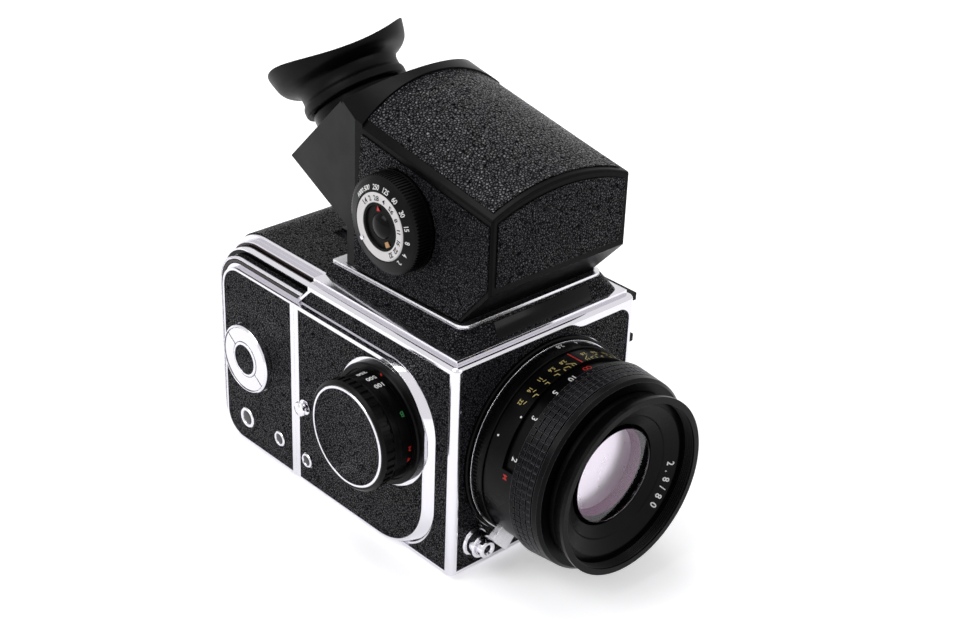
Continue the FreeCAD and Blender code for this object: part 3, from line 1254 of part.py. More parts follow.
def make_magazine_leathers():
    """The leather round the back, on the two side strips and on the plain side."""
    pieces = []
    gap = s.leather_gap
    for name, middle, half, step in (
            ("leather_back", 0.0, s.centre_half - s.rail_trim, s.centre_step),
            ("leather_strip_plain", s.strip_middle, s.strip_trim, s.strip_step),
            ("leather_strip_wind", -s.strip_middle, s.strip_trim, s.strip_step)):
        body = new_body(name)
        grown = s.seam + s.magazine_depth + step + s.leather
        start = s.seam + s.skin_start
        skin = side_panel(new_sketch(body, "YZ_Plane", middle - half), grown, start,
                          floor + s.base_lift, plate_top + step + s.leather,
                          s.magazine_round, s.magazine_round + step + s.leather)
        pad(body, skin, half * 2)
        core = side_panel(new_sketch(body, "YZ_Plane", middle - half - 1), grown - s.leather,
                          s.seam, floor, plate_top + step, s.magazine_round,
                          s.magazine_round + step)
        pocket(body, core, half * 2 + 2, reversed_way=True)
        tongue = rectangle(new_sketch(body, "YZ_Plane", middle - half), skin_front(step),
                           start + 1, plate_top + step, plate_top + step + s.leather)
        pad(body, tongue, half * 2)
        if name == "leather_back":
            room = rectangle(new_sketch(body, "XY_Plane", plate_top), -s.catch_half
                             - s.catch_travel - gap, s.catch_half + gap,
                             s.catch_y - s.catch_width / 2 - gap - s.running_gap,
                             s.catch_y + s.catch_width / 2 + gap + s.running_gap)
            pocket(body, room, s.centre_step + 2, reversed_way=True)
        pieces.append(body)
    side = new_body("leather_panel")
    panel = magazine_outline(new_sketch(side, "YZ_Plane", plate_face - s.panel_depth), 0.0,
                             s.plate_frame + gap, s.seam + s.slide_frame + gap)
    pad(side, panel, s.leather)
    pieces.append(side)
    return compound("magazine_leather", pieces)


def make_insert():
    """The side plate that draws out with the pressure plate and the cheeks for the spools."""
    body = new_body("insert_plate")
    gap = s.insert_gap
    inner, reach = s.spool_half + s.spool_play, s.cheek_thick
    front = s.seam + s.slide_wall + gap * 3
    pressure = rectangle(new_sketch(body, "XY_Plane", lens_height - s.gate_half),
                         -s.strip_half, inner + reach, front, front + s.pressure_thick)
    pad(body, pressure, s.gate_half * 2)
    for start in (-inner - reach, inner):
        cheek = rectangle(new_sketch(body, "YZ_Plane", start), front, s.spool_y + s.cheek_back,
                          s.spool_low - s.cheek_back, spool_high + s.cheek_back)
        pad(body, cheek, reach)
    plate = magazine_outline(new_sketch(body, "YZ_Plane", -plate_face), 0.0)
    pad(body, plate, s.plate_proud)
    panel = magazine_outline(new_sketch(body, "YZ_Plane", -(plate_face - s.panel_depth)), 0.0,
                             s.plate_frame * 0.6, s.seam + s.magazine_seam)
    pocket(body, panel, s.panel_depth + 1)
    for height in (s.spool_low, spool_high):
        for start in (-inner, inner - s.spool_pin):
            pin = circle(new_sketch(body, "YZ_Plane", start), s.spool_y, height, s.pin_radius)
            pad(body, pin, s.spool_pin)
    shaft = circle(new_sketch(body, "YZ_Plane", -plate_face - 1), s.key_y, s.key_z,
                   s.key_shaft + s.running_gap)
    pocket(body, shaft, s.plate_proud + 2, reversed_way=True)
    return keep(body, "insert_plate")


def make_insert_leather():
    body = new_body("insert_leather")
    gap = s.leather_gap
    plane = -(plate_face - s.panel_depth)
    skin = magazine_outline(new_sketch(body, "YZ_Plane", plane), 0.0, s.plate_frame * 0.6 + gap,
                            s.seam + s.magazine_seam + gap)
    pad(body, skin, s.leather, reversed_way=True)
    for y, z, radius in ((s.key_y, s.key_z, s.key_radius),
                         (s.counter_y, s.counter_z, s.counter_radius),
                         (s.signal_y, s.signal_z, s.signal_radius)):
        hole = circle(new_sketch(body, "YZ_Plane", plane), y, z, radius + gap)
        pocket(body, hole, s.leather + 1)
    return keep(body, "insert_leather")


def make_spool(label, height, film):
    """A spool lying along X between the cheeks; film is the radius wound on it."""
    half, socket = s.spool_half, s.pin_radius + s.running_gap
    reach = s.spool_pin - s.spool_play + s.axial_gap
    flange = s.spool_radius
    spool = turned(label, [
        (0, reach - half), (socket, reach - half), (socket, -half), (flange, -half),
        (flange, s.flange_thick - half), (film, s.flange_thick - half),
        (film, half - s.flange_thick), (flange, half - s.flange_thick), (flange, half),
        (socket, half), (socket, half - reach), (0, half - reach)])
    return place(spool, 0.0, s.spool_y, height, WIND_SIDE)


KEY_TURN = WIND_SIDE.multiply(Rotation(Vector(0, 0, 1), 55))


def make_film_key():
    gap = s.running_gap
    outer, rim = s.key_radius, s.key_rim
    key = turned("film_key", [
        (0, -s.plate_proud - s.key_reach), (s.key_shaft, -s.plate_proud - s.key_reach),
        (s.key_shaft, -s.panel_depth), (outer, -s.panel_depth), (outer, s.key_height - 0.6),
        (outer - 0.5, s.key_height), (rim, s.key_height), (rim, s.key_floor),
        (s.key_boss, s.key_floor), (s.key_boss, s.key_height - 0.2),
        (s.key_boss - 0.6, s.key_height), (s.key_boss - 1.0, s.key_height),
        (s.key_boss - 1.0, s.key_height - 0.5), (0, s.key_height - 0.5)])
    place(key, -plate_face, s.key_y, s.key_z, KEY_TURN)
    inner, reach = s.key_boss + s.bow_gap, rim - s.bow_gap
    for label, sign in (("key_bow_upper", -1), ("key_bow_lower", 1)):
        body = new_body(label)
        start = s.bow_split
        sketch = new_sketch(body, "XY_Plane", s.key_floor + s.bow_gap)
        far = root(reach * reach - start * start)
        close = root(inner * inner - start * start)
        outline(sketch, [
            (close, sign * start), (far, sign * start, sign * reach * 1.0),
            (-far, sign * start), (-close, sign * start, -sign * inner * 1.0)])
        pad(body, sketch, s.bow_thick)
        place(body, -plate_face, s.key_y, s.key_z, KEY_TURN)
        keep(body, label)


make_body_shell()
make_tripod_foot()
make_side_plate("side_plate_plain", 1)
make_side_plate("side_plate_wind", -1)
compound("side_leathers", [make_side_leather("leather_plain", 1),
                           make_side_leather("leather_wind", -1)])
compound("corner_leathers", [make_corner_leather("corner_plain", 1),
                             make_corner_leather("corner_wind", -1)])
make_front_leather()
make_collar()
make_collar_strip()
make_collar_leather()
make_strap_lugs()
make_accessory_shoe()
make_sync_socket()
make_focusing_screen()
make_curtain()
make_drum("curtain_drum_take_up", 1)
make_drum("curtain_drum_supply", -1)
make_mirror()
make_lens_mount()
make_release()
make_knob_stack()
keep(window("body_signal_window", s.body_signal_y, s.body_signal_z, s.signal_radius - 0.2),
     "body_signal_window")
make_lens()
make_finder()
make_finder_leathers()
make_eyepiece()
make_dial()
make_magazine_shell()
make_magazine_catch()
make_dark_slide()
make_magazine_leathers()
make_insert()
make_insert_leather()
compound("magazine_windows", [
    window("counter", s.counter_y, s.counter_z, s.counter_radius),
    window("film_signal", s.signal_y, s.signal_z, s.signal_radius)])
make_spool("film_spool_full", s.spool_low, s.film_radius)
make_spool("film_spool_empty", spool_high, s.spool_core)
make_film_key()

doc.recompute()
for item in doc.Objects:
    if "Invalid" in item.State or "Error" in item.State:
        raise RuntimeError("%s did not recompute" % item.Label)
for label, item in nodes.items():
    if item.Shape.isNull() or not item.Shape.isValid():
        raise RuntimeError("%s has no valid shape" % label)

os.makedirs("parts", exist_ok=True)
for label, item in nodes.items():
    item.Shape.exportStep("parts/%s.step" % label)
print("%d sub-parts written" % len(nodes))
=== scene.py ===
# %% [markdown]
# This scene dresses a medium format film camera: a box body with a winding knob, a lens, a prism
# finder and a film magazine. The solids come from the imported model, already in place and in
# metres, so every new piece is measured from them. They could be modelled again here, but then
# the joints and the looks would drift apart.

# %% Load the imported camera
import bpy
import bmesh
import math
from mathutils import Matrix, Vector


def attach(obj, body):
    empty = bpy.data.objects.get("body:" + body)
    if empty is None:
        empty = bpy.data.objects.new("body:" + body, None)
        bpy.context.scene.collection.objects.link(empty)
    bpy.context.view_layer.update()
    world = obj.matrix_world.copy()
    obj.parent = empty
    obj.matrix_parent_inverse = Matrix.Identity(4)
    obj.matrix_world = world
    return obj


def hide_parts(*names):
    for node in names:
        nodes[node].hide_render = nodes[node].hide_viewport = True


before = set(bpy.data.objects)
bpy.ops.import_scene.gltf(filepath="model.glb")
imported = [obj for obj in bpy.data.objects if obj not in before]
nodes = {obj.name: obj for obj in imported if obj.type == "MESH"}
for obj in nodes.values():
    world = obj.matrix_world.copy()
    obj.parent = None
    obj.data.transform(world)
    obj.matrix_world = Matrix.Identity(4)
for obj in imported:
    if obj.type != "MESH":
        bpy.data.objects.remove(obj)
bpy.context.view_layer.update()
scene = bpy.context.scene
print("nodes:", len(nodes))

# %% [markdown]
# The camera stands where the photographer stood: to the left of the lens and well above it. Its
# place and turn come from fitting the straight edges of the body in the photograph, which gives
# three directions: to the right, upwards, and back towards the photographer. They are the
# columns of its matrix. The point that the fit was measured from falls on one pixel of the
# photograph, at a known distance, and that fixes where the camera stands. Lengths on the drawing
# are millimetres, and Blender works in metres.

# %% Camera
MM = 0.001
AZIMUTH, ELEVATION, ROLL = (math.radians(a) for a in (-43.369, 28.634, 2.095))
FOCAL_PIXELS, IMAGE_WIDTH, IMAGE_HEIGHT, SENSOR_MM = 1803.195, 960, 640, 36.0
DISTANCE, PIXEL_X, PIXEL_Y = 714.02, 387.606, 434.926
FIT_ORIGIN = Vector((0, 43.0, 2.5))

back = Vector((math.sin(AZIMUTH) * math.cos(ELEVATION),
               -math.cos(AZIMUTH) * math.cos(ELEVATION), math.sin(ELEVATION)))
level = Vector((math.cos(AZIMUTH), math.sin(AZIMUTH), 0))
raised = back.cross(level)
right = level * math.cos(ROLL) + raised * math.sin(ROLL)
up = raised * math.cos(ROLL) - level * math.sin(ROLL)
per_pixel = DISTANCE / FOCAL_PIXELS
eye = (right * ((IMAGE_WIDTH / 2 - PIXEL_X) * per_pixel)
       + up * ((PIXEL_Y - IMAGE_HEIGHT / 2) * per_pixel) + back * DISTANCE + FIT_ORIGIN)

camera = bpy.data.objects.new("camera", bpy.data.cameras.new("camera"))
camera.data.sensor_width = SENSOR_MM
camera.data.lens = SENSOR_MM * FOCAL_PIXELS / IMAGE_WIDTH
camera.data.clip_start, camera.data.clip_end = 0.05, 20.0
turn = Matrix((right, up, back)).transposed().to_4x4()
camera.matrix_world = Matrix.Translation(eye * MM) @ turn
scene.collection.objects.link(camera)
scene.camera = camera
scene.view_settings.view_transform = "Standard"
print("camera at", [round(v, 1) for v in eye])

# %% [markdown]
# Every material below is a short chain of nodes. One small function adds a node with its
# settings and links, so a chain reads from top to bottom. A second one turns the colour codes
# that a paint chart gives into the linear values that a shader needs, and a third starts an
# empty material.

# %% Colour and node helpers
def linear(code):
    channels = [int(code[i:i + 2], 16) / 255 for i in (1, 3, 5)]
    flat = [c / 12.92 if c <= 0.04045 else ((c + 0.055) / 1.055) ** 2.4 for c in channels]
    return (*flat, 1.0)


def add(tree, kind, settings=None, **inputs):
    """Add a node. Settings are its properties; inputs are values or other nodes' outputs."""
    node = tree.nodes.new(kind)
    for name, value in (settings or {}).items():
        setattr(node, name, value)
    for name, value in inputs.items():
        key = int(name[1:]) if name[0] == "_" else name.replace("_", " ")
        socket = node.inputs[key]
        if isinstance(value, bpy.types.NodeSocket):
            tree.links.new(value, socket)
        else:
            socket.default_value = value
    return node


def new_material(name):
    material = bpy.data.materials.new(name)
    material.use_nodes = True
    material.node_tree.nodes.clear()
    return material, material.node_tree


print("middle grey in linear light:", round(linear("#808080")[0], 3))

# %% [markdown]
# The covering is leatherette: black vinyl pressed with a pebble grain. A Voronoi texture gives
# the pebbles, by the distance from each point to the nearest furrow. The grain is drawn a little
# coarser than the real one, which would be too fine to show. The finder's roof has a coarser,
# glossier grain than the sides, so one function makes both from the width of a pebble. The crowns
# are painted a lighter bluish grey as a painted sheen, and the furrows stay near black as a
# painted shade. The specular level also follows the crowns, so the furrows get painted shade in
# their gloss too. This gives the covering its sparkle. A wide noise makes some patches duller. It
# seldom leaves the values from 0.3 to 0.7, so only those are spread over the roughness.

# %% Leatherette
WANDER_SCALE, WANDER_SHARE = 1.2, 0.35
FURROW, CROWN = 0.02, 0.42
NOISE_LOW, NOISE_HIGH = 0.3, 0.7
PATCHES_PER_METRE, SMOOTHER, ROUGHER = 120.0, 0.05, 0.07


def leatherette(name, pebble_mm, height_mm, roughness, colour, crown_sheen, level):
    material, tree = new_material(name)
    pebble = pebble_mm * MM
    place = add(tree, "ShaderNodeTexCoord").outputs["Object"]
    wander = add(tree, "ShaderNodeTexNoise", Vector=place, Scale=WANDER_SCALE / pebble,
                 Detail=1.0)
    bent = add(tree, "ShaderNodeVectorMath", {"operation": "MULTIPLY_ADD"},
               _0=wander.outputs["Color"], _1=(pebble * WANDER_SHARE,) * 3, _2=place)
    cells = add(tree, "ShaderNodeTexVoronoi", {"feature": "DISTANCE_TO_EDGE"},
                Vector=bent.outputs[0], Scale=1 / pebble)
    crown = add(tree, "ShaderNodeMapRange", {"interpolation_type": "SMOOTHSTEP"},
                Value=cells.outputs["Distance"], _1=FURROW, _2=CROWN, _3=0.0, _4=1.0)
    bump = add(tree, "ShaderNodeBump", Height=crown.outputs[0], Strength=1.0,
               Distance=height_mm * MM)
    # Painted sheen and shade: the crowns take the lighter second colour and the furrows the dark
    # one, and the specular level below falls to nothing in the furrows.
    shade = add(tree, "ShaderNodeMix", {"data_type": "RGBA"}, _0=crown.outputs[0],
                _6=linear(colour), _7=linear(crown_sheen))
    shine = add(tree, "ShaderNodeMath", {"operation": "MULTIPLY"}, _0=crown.outputs[0],
                _1=level)
    patch = add(tree, "ShaderNodeTexNoise", Vector=place, Scale=PATCHES_PER_METRE, Detail=2.0)
    gloss = add(tree, "ShaderNodeMapRange", Value=patch.outputs["Fac"], _1=NOISE_LOW,
                _2=NOISE_HIGH, _3=roughness - SMOOTHER, _4=roughness + ROUGHER)
    surface = add(tree, "ShaderNodeBsdfPrincipled", Base_Color=shade.outputs[2],
                  Roughness=gloss.outputs[0], IOR=1.5, Specular_IOR_Level=shine.outputs[0],
                  Normal=bump.outputs[0])
    add(tree, "ShaderNodeOutputMaterial", Surface=surface.outputs[0])
    return material


side_leatherette = leatherette("leatherette_fine", 0.85, 0.24, 0.36, "#09090B", "#2A282E", 0.4)
roof_leatherette = leatherette("leatherette_coarse", 1.05, 0.3, 0.28, "#08080A", "#313037", 0.85)
print("coverings:", side_leatherette.name, roof_leatherette.name)

# %% [markdown]
# The bright trim is chrome over brass, buffed after plating. A metal takes its look from what it
# mirrors, so the shader is plain: almost white, almost smooth, with a faint haze of cleaning
# marks in the roughness. A Bevel node rounds the light on every edge by a quarter of a
# millimetre, as the buffing wheel does, without touching the solids.

# %% Chrome and bare metal
EDGE_MM, EDGE_SAMPLES = 0.25, 4


def plated(name, colour, low, high, mark_mm, bump_mm=0.0):
    material, tree = new_material(name)
    place = add(tree, "ShaderNodeTexCoord").outputs["Object"]
    haze = add(tree, "ShaderNodeTexNoise", Vector=place, Scale=1 / (mark_mm * MM), Detail=4.0,
               Roughness=0.6)
    gloss = add(tree, "ShaderNodeMapRange", Value=haze.outputs["Fac"], _1=NOISE_LOW,
                _2=NOISE_HIGH, _3=low, _4=high)
    rounded = add(tree, "ShaderNodeBevel", {"samples": EDGE_SAMPLES}, Radius=EDGE_MM * MM)
    bump = add(tree, "ShaderNodeBump", Height=haze.outputs["Fac"], Strength=0.3,
               Distance=bump_mm * MM, Normal=rounded.outputs[0])
    surface = add(tree, "ShaderNodeBsdfPrincipled", Base_Color=linear(colour), Metallic=1.0,
                  Roughness=gloss.outputs[0], Normal=bump.outputs[0])
    add(tree, "ShaderNodeOutputMaterial", Surface=surface.outputs[0])
    return material


chrome = plated("chrome_buffed", "#DDDBE1", 0.06, 0.14, 6.0, 0.01)
satin_chrome = plated("chrome_satin", "#DFDEE2", 0.24, 0.34, 3.0, 0.01)
bare_steel = plated("steel_ground", "#A9A9AC", 0.28, 0.4, 1.5, 0.02)
silvering = plated("mirror_silvering", "#F1F1F3", 0.01, 0.03, 10.0)
print("metals:", [m.name for m in (chrome, satin_chrome, bare_steel, silvering)])

# %% [markdown]
# The dark metal parts are of three kinds. The finder is sprayed with a satin enamel, the lens is
# anodised aluminium, and small fittings such as the tripod foot have a harder, glossier enamel.
# All three are black with a slight orange peel, and differ mostly in how sharp their gloss is.
# The same function makes the moulded plastic, the rubber and the cloth, and fills the engraved
# numbers with paint. An edge colour can be given for the knurl of the focusing ring. It is a
# painted highlight on the ridges, drawn like metal rubbed bare there. It shows where the rounded
# normal leaves the flat one.

# %% Black finishes and paint
WIPES_PER_METRE, PAINT_SMOOTHER, PAINT_ROUGHER = 90.0, 0.04, 0.05
EDGE_LIGHT_FULL, EDGE_LIGHT_NONE = 0.8, 0.97


def painted(name, colour, roughness, grain_mm, bump_mm, level=0.35, edge=None):
    material, tree = new_material(name)
    place = add(tree, "ShaderNodeTexCoord").outputs["Object"]
    rounded = add(tree, "ShaderNodeBevel", {"samples": EDGE_SAMPLES}, Radius=EDGE_MM * MM)
    peel = add(tree, "ShaderNodeTexNoise", Vector=place, Scale=1 / (grain_mm * MM), Detail=3.0)
    bump = add(tree, "ShaderNodeBump", Height=peel.outputs["Fac"], Strength=0.6,
               Distance=bump_mm * MM, Normal=rounded.outputs[0])
    wide = add(tree, "ShaderNodeTexNoise", Vector=place, Scale=WIPES_PER_METRE, Detail=2.0)
    gloss = add(tree, "ShaderNodeMapRange", Value=wide.outputs["Fac"], _1=NOISE_LOW,
                _2=NOISE_HIGH, _3=roughness - PAINT_SMOOTHER, _4=roughness + PAINT_ROUGHER)
    shade = linear(colour)
    # A lighter edge colour is a painted highlight on the ridges of a knurl.
    if edge:
        flat = add(tree, "ShaderNodeNewGeometry").outputs["Normal"]
        close = add(tree, "ShaderNodeVectorMath", {"operation": "DOT_PRODUCT"},
                    _0=rounded.outputs[0], _1=flat)
        edge_highlight_mask = add(tree, "ShaderNodeMapRange", Value=close.outputs["Value"], _1=EDGE_LIGHT_FULL,
                   _2=EDGE_LIGHT_NONE, _3=1.0, _4=0.0)
        shade = add(tree, "ShaderNodeMix", {"data_type": "RGBA"}, _0=edge_highlight_mask.outputs[0],
                    _6=linear(colour), _7=linear(edge)).outputs[2]
    surface = add(tree, "ShaderNodeBsdfPrincipled", Base_Color=shade,
                  Roughness=gloss.outputs[0], Specular_IOR_Level=level,
                  Normal=bump.outputs[0])
    add(tree, "ShaderNodeOutputMaterial", Surface=surface.outputs[0])
    return material


enamel_satin = painted("enamel_satin_black", "#040405", 0.34, 0.5, 0.012, 0.055)
enamel_gloss = painted("enamel_gloss_black", "#020203", 0.16, 0.8, 0.008, 0.1)
anodised = painted("aluminium_anodised_black", "#030304", 0.3, 0.25, 0.006, 0.08)
# The focusing ring's knurl, with a painted highlight on its ridges.
knurl_edge_highlight = painted("aluminium_anodised_edge_highlight", "#030304", 0.3, 0.25, 0.006, 0.08, "#6E6E76")
moulded = painted("phenolic_moulded_black", "#030304", 0.36, 0.4, 0.012, 0.1)
rubber = painted("rubber_natural_black", "#030304", 0.44, 0.35, 0.02, 0.1)
cloth = painted("shutter_cloth", "#0C0C0C", 0.85, 0.3, 0.05, 0.2)
paper = painted("backing_paper", "#CFC9B8", 0.7, 0.5, 0.02)
dial_white = painted("paint_white_dial", "#D9D6D6", 0.42, 0.4, 0.006)
mark_white = painted("paint_white_filled", "#ECECEA", 0.45, 0.3, 0.004)
mark_red = painted("paint_red_filled", "#C4231C", 0.45, 0.3, 0.004)
mark_yellow = painted("paint_yellow_filled", "#C9B873", 0.45, 0.3, 0.004)
mark_green = painted("paint_green_filled", "#2F7A43", 0.45, 0.3, 0.004)
mark_tan = painted("paint_tan_filled", "#B98D5C", 0.45, 0.3, 0.004)
mark_black = painted("paint_black_filled", "#020202", 0.5, 0.3, 0.004, 0.1)
# Painted shade for the grooves between the magazine's mouldings.
groove_shade_brown = painted("paint_brown_groove_shade", "#2C2120", 0.3, 0.4, 0.01, 0.3)
print("materials so far:", len(bpy.data.materials))

# %% [markdown]
# The glass elements are crown glass. The front one is clear, with a faint tint. Behind it stand
# surfaces that send the light back: a pale mirror, and a ring that has the purple reflection of
# the coatings painted on as its colour, because a film on clear glass is noisy in a short render.
# A coating also makes glass reflect less, so the front glass has a lower index than bare glass.
# The focusing screen is ground, so it scatters. The small windows of the counters are dark and
# only reflect.

# %% Glass
def clear_glass(name, tint, ior):
    material, tree = new_material(name)
    surface = add(tree, "ShaderNodeBsdfPrincipled", Base_Color=linear(tint), Roughness=0.0,
                  IOR=ior, Transmission_Weight=1.0)
    add(tree, "ShaderNodeOutputMaterial", Surface=surface.outputs[0])
    return material


front_glass = clear_glass("glass_coated_front", "#FBF7FC", 1.3)
plain_glass = clear_glass("glass_plain", "#EDEFEF", 1.52)
coating_pale = plated("glass_coating_pale", "#FDFBFE", 0.27, 0.3, 9.0)
# Painted reflection: the purple that coatings show only in reflected light is this material's own
# colour.
coating_reflection_purple = painted("glass_coating_reflection_purple", "#75466A", 0.3, 1.0, 0.002, 0.15)
dark_window = painted("glass_dark_window", "#131416", 0.1, 1.0, 0.004, 0.5)
ground_screen, tree = new_material("glass_ground")
screen = add(tree, "ShaderNodeBsdfPrincipled", Base_Color=linear("#D6DAD6"), Roughness=0.5,
             IOR=1.5, Transmission_Weight=0.6)
add(tree, "ShaderNodeOutputMaterial", Surface=screen.outputs[0])
print("glass:", [m.name for m in bpy.data.materials if m.name.startswith("glass")])

# %% [markdown]
# Each solid now gets the finish of the real piece. A table from finish to nodes is the easiest
# to read and to check: a name that is missing here would leave a solid grey.

# %% Dress the solids
finishes = {
    chrome: ["body_shell", "side_plate_wind", "side_plate_plain", "top_collar", "knob_dish",
             "knob_ring", "strap_lugs", "release_sleeve", "release_button", "magazine_shell",
             "insert_plate", "film_key", "key_bow_upper", "key_bow_lower",
             "body_signal_window", "magazine_windows"],
    satin_chrome: ["collar_strip", "stop_down_tab"],
    bare_steel: ["sync_socket", "curtain_drum_take_up", "curtain_drum_supply", "mirror_frame",
                 "dark_slide"],
    silvering: ["mirror_glass"],
    side_leatherette: ["side_leathers", "corner_leathers", "front_leather", "collar_leather",
                       "knob_leather", "insert_leather", "magazine_leather",
                       "prism_side_leathers", "prism_front_leather"],
    roof_leatherette: ["roof_leather"],
    enamel_gloss: ["magazine_catch", "tripod_foot"],
    enamel_satin: ["prism_housing", "meter_index_disc"],
    anodised: ["lens_mount_ring", "index_flange", "speed_collar", "accessory_shoe",
               "lens_barrel", "aperture_ring", "front_barrel", "name_ring", "eyepiece_tube"],
    knurl_edge_highlight: ["focus_ring"],
    moulded: ["wind_knob", "meter_speed_ring", "film_spool_empty"],
    rubber: ["eyecup"],
    cloth: ["shutter_curtain"],
    dial_white: ["meter_stop_ring"],
    paper: ["film_spool_full"],
    front_glass: ["front_element"],
    plain_glass: ["rear_element", "prism_glass", "eyepiece_lens"],
    ground_screen: ["focusing_screen"],
}


def dress(piece, material):
    piece.data.materials.clear()
    piece.data.materials.append(material)


for material, names in finishes.items():
    for name in names:
        dress(nodes[name], material)
undressed = set(nodes) - {name for names in finishes.values() for name in names}
print("undressed:", sorted(undressed))

# %% [markdown]
# The new pieces are small turned or engraved things, so each is drawn in millimetres on its own
# axis and then moved into the model. A matrix per axis does that: the lens looks forward, and
# the knob, the dial and the film key look to the winding side. The eyecup stands on the sloping
# back of the finder, and its saddle is turned a little about the eyepiece.

# %% Axes of the turned parts
def axis_at(origin, *turns):
    """From millimetres on a part's own axis to metres in the model."""
    place = Matrix.Translation(origin)
    for angle, letter in turns:
        place = place @ Matrix.Rotation(math.radians(angle), 4, letter)
    return Matrix.Scale(MM, 4) @ place


LENS_AXIS = axis_at((0, -43, 44.8), (90, "X"))
KNOB_AXIS = axis_at((-45, -7, 50.5), (-90, "Y"))
DIAL_AXIS = axis_at((-31.7, -1, 122.8), (-90, "Y"))
KEY_AXIS = axis_at((-45, 71, 41.8), (-90, "Y"))
EYE_AXIS = axis_at((0, 56.5, 133.792), (-42.06, "X"), (-22, "Z"))
print("lens axis in front at", [round(v / MM, 1) for v in LENS_AXIS.translation])

# %% [markdown]
# A finished piece is welded, its faces are turned outwards, and its round faces are shaded
# smooth up to the sharp edges of the real part. Then it rides on the body of the camera that
# carries it. One function does this for every piece, so none is forgotten.

# %% Finish a piece
SHARP = math.radians(32)
WELD_MM = 0.0005


def finished(name, build, place, material, body):
    bmesh.ops.remove_doubles(build, verts=build.verts[:], dist=WELD_MM)
    bmesh.ops.recalc_face_normals(build, faces=build.faces[:])
    bmesh.ops.transform(build, matrix=place, verts=build.verts[:])
    for face in build.faces:
        face.smooth = True
    for edge in build.edges:
        edge.smooth = edge.calc_face_angle(0.0) < SHARP
    mesh = bpy.data.meshes.new(name)
    build.to_mesh(mesh)
    build.free()
    piece = bpy.data.objects.new(name, mesh)
    scene.collection.objects.link(piece)
    dress(piece, material)
    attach(piece, body)
    print("made", name, len(mesh.polygons), "faces")
    return piece


print("edges over", round(math.degrees(SHARP)), "degrees stay sharp")

# %% [markdown]
# Turned pieces come from a chain of points, as (radius, height), that is spun round the axis. A
# full turn merges its first and last row. A part turn is left open at both ends, so its ends
# are filled, and the piece stays a closed solid. The function that turns the profile to its
# start also turns the flat pieces further on.

# %% Turn a profile
FULL_TURN = 360.0


def turned(build, angle):
    bmesh.ops.rotate(build, matrix=Matrix.Rotation(angle, 3, "Z"), verts=build.verts[:])
    return build


def spun(points, start=0.0, sweep=FULL_TURN, steps=96):
    build = bmesh.new()
    chain = [build.verts.new((radius, 0, height)) for radius, height in points]
    for pair in zip(chain, chain[1:] + chain[:1]):
        build.edges.new(pair)
    turned(build, math.radians(start))
    bmesh.ops.spin(build, geom=build.verts[:] + build.edges[:], cent=(0, 0, 0),
                   axis=(0, 0, 1), angle=math.radians(sweep), steps=steps,
                   use_merge=sweep == FULL_TURN)
    if sweep != FULL_TURN:
        bmesh.ops.holes_fill(build, edges=build.edges[:], sides=0)
    return build


# %% [markdown]
# The numbers on the rings are engraved and filled with paint. They could be an image, but then
# their edges would blur in a close view. So each is a thin solid of paint made from Blender's
# own lettering. Lines are thin bars of the same paint. Both are drawn flat, in millimetres.

# %% Flat lettering and lines
PAINT_MM = 0.1
CAP_SHARE, BOLDER_SHARE = 0.7, 0.02


def lettering(text, height, spacing=1.0, align="CENTER"):
    curve = bpy.data.curves.new("lettering", "FONT")
    curve.body, curve.size = text, height / CAP_SHARE
    curve.align_x, curve.align_y = align, "CENTER"
    curve.space_character = spacing
    curve.extrude, curve.offset = PAINT_MM / 2, height * BOLDER_SHARE
    curve.resolution_u = 3
    holder = bpy.data.objects.new("lettering", curve)
    scene.collection.objects.link(holder)
    mesh = bpy.data.meshes.new_from_object(holder)
    build = bmesh.new()
    build.from_mesh(mesh)
    bpy.data.objects.remove(holder)
    bpy.data.curves.remove(curve)
    bpy.data.meshes.remove(mesh)
    return build


def moved(build, x, y):
    bmesh.ops.translate(build, vec=(x, y, 0), verts=build.verts[:])
    return build


def stroke(start, end, width):
    run = Vector(end) - Vector(start)
    middle = (Vector(end) + Vector(start)) / 2
    build = bmesh.new()
    bmesh.ops.create_cube(build, size=1.0)
    bmesh.ops.scale(build, vec=(run.length + width, width, PAINT_MM), verts=build.verts[:])
    return moved(turned(build, math.atan2(run.y, run.x)), middle.x, middle.y)


def dot(radius):
    build = bmesh.new()
    bmesh.ops.create_cone(build, cap_ends=True, segments=20, radius1=radius, radius2=radius,
                          depth=PAINT_MM)
    return build


print("the paint is", PAINT_MM, "mm thick")

# %% [markdown]
# Flat marks are then bent onto the part. A point's x becomes an angle round the axis, and its y
# climbs the surface: along the axis on a barrel, outwards on a face, and both on a cone. The
# paint's thickness stands off the surface. A sense of -1 reads clockwise, as on a dial.

# %% Bend marks round an axis
def wrapped(build, radius, angle, height, climb=(0, 1), stand=(1, 0), sense=1):
    for vert in build.verts:
        x, y, z = vert.co
        out = radius + climb[0] * y + stand[0] * z
        along = height + climb[1] * y + stand[1] * z
        way = math.radians(angle) + sense * x / radius
        vert.co = (out * math.cos(way), out * math.sin(way), along)
    return build


def gathered(parts):
    whole = bmesh.new()
    for part in parts:
        mesh = bpy.data.meshes.new("part")
        part.to_mesh(mesh)
        part.free()
        whole.from_mesh(mesh)
        bpy.data.meshes.remove(mesh)
    return whole


# %% [markdown]
# The distance scale is on the skirt of the focusing ring and shows through a window in the
# barrel: white numbers for metres, with a red endless sign at one end. Reading goes with the
# growing angle, and the tops of the numbers point forward. The endless sign is two loops side by
# side.

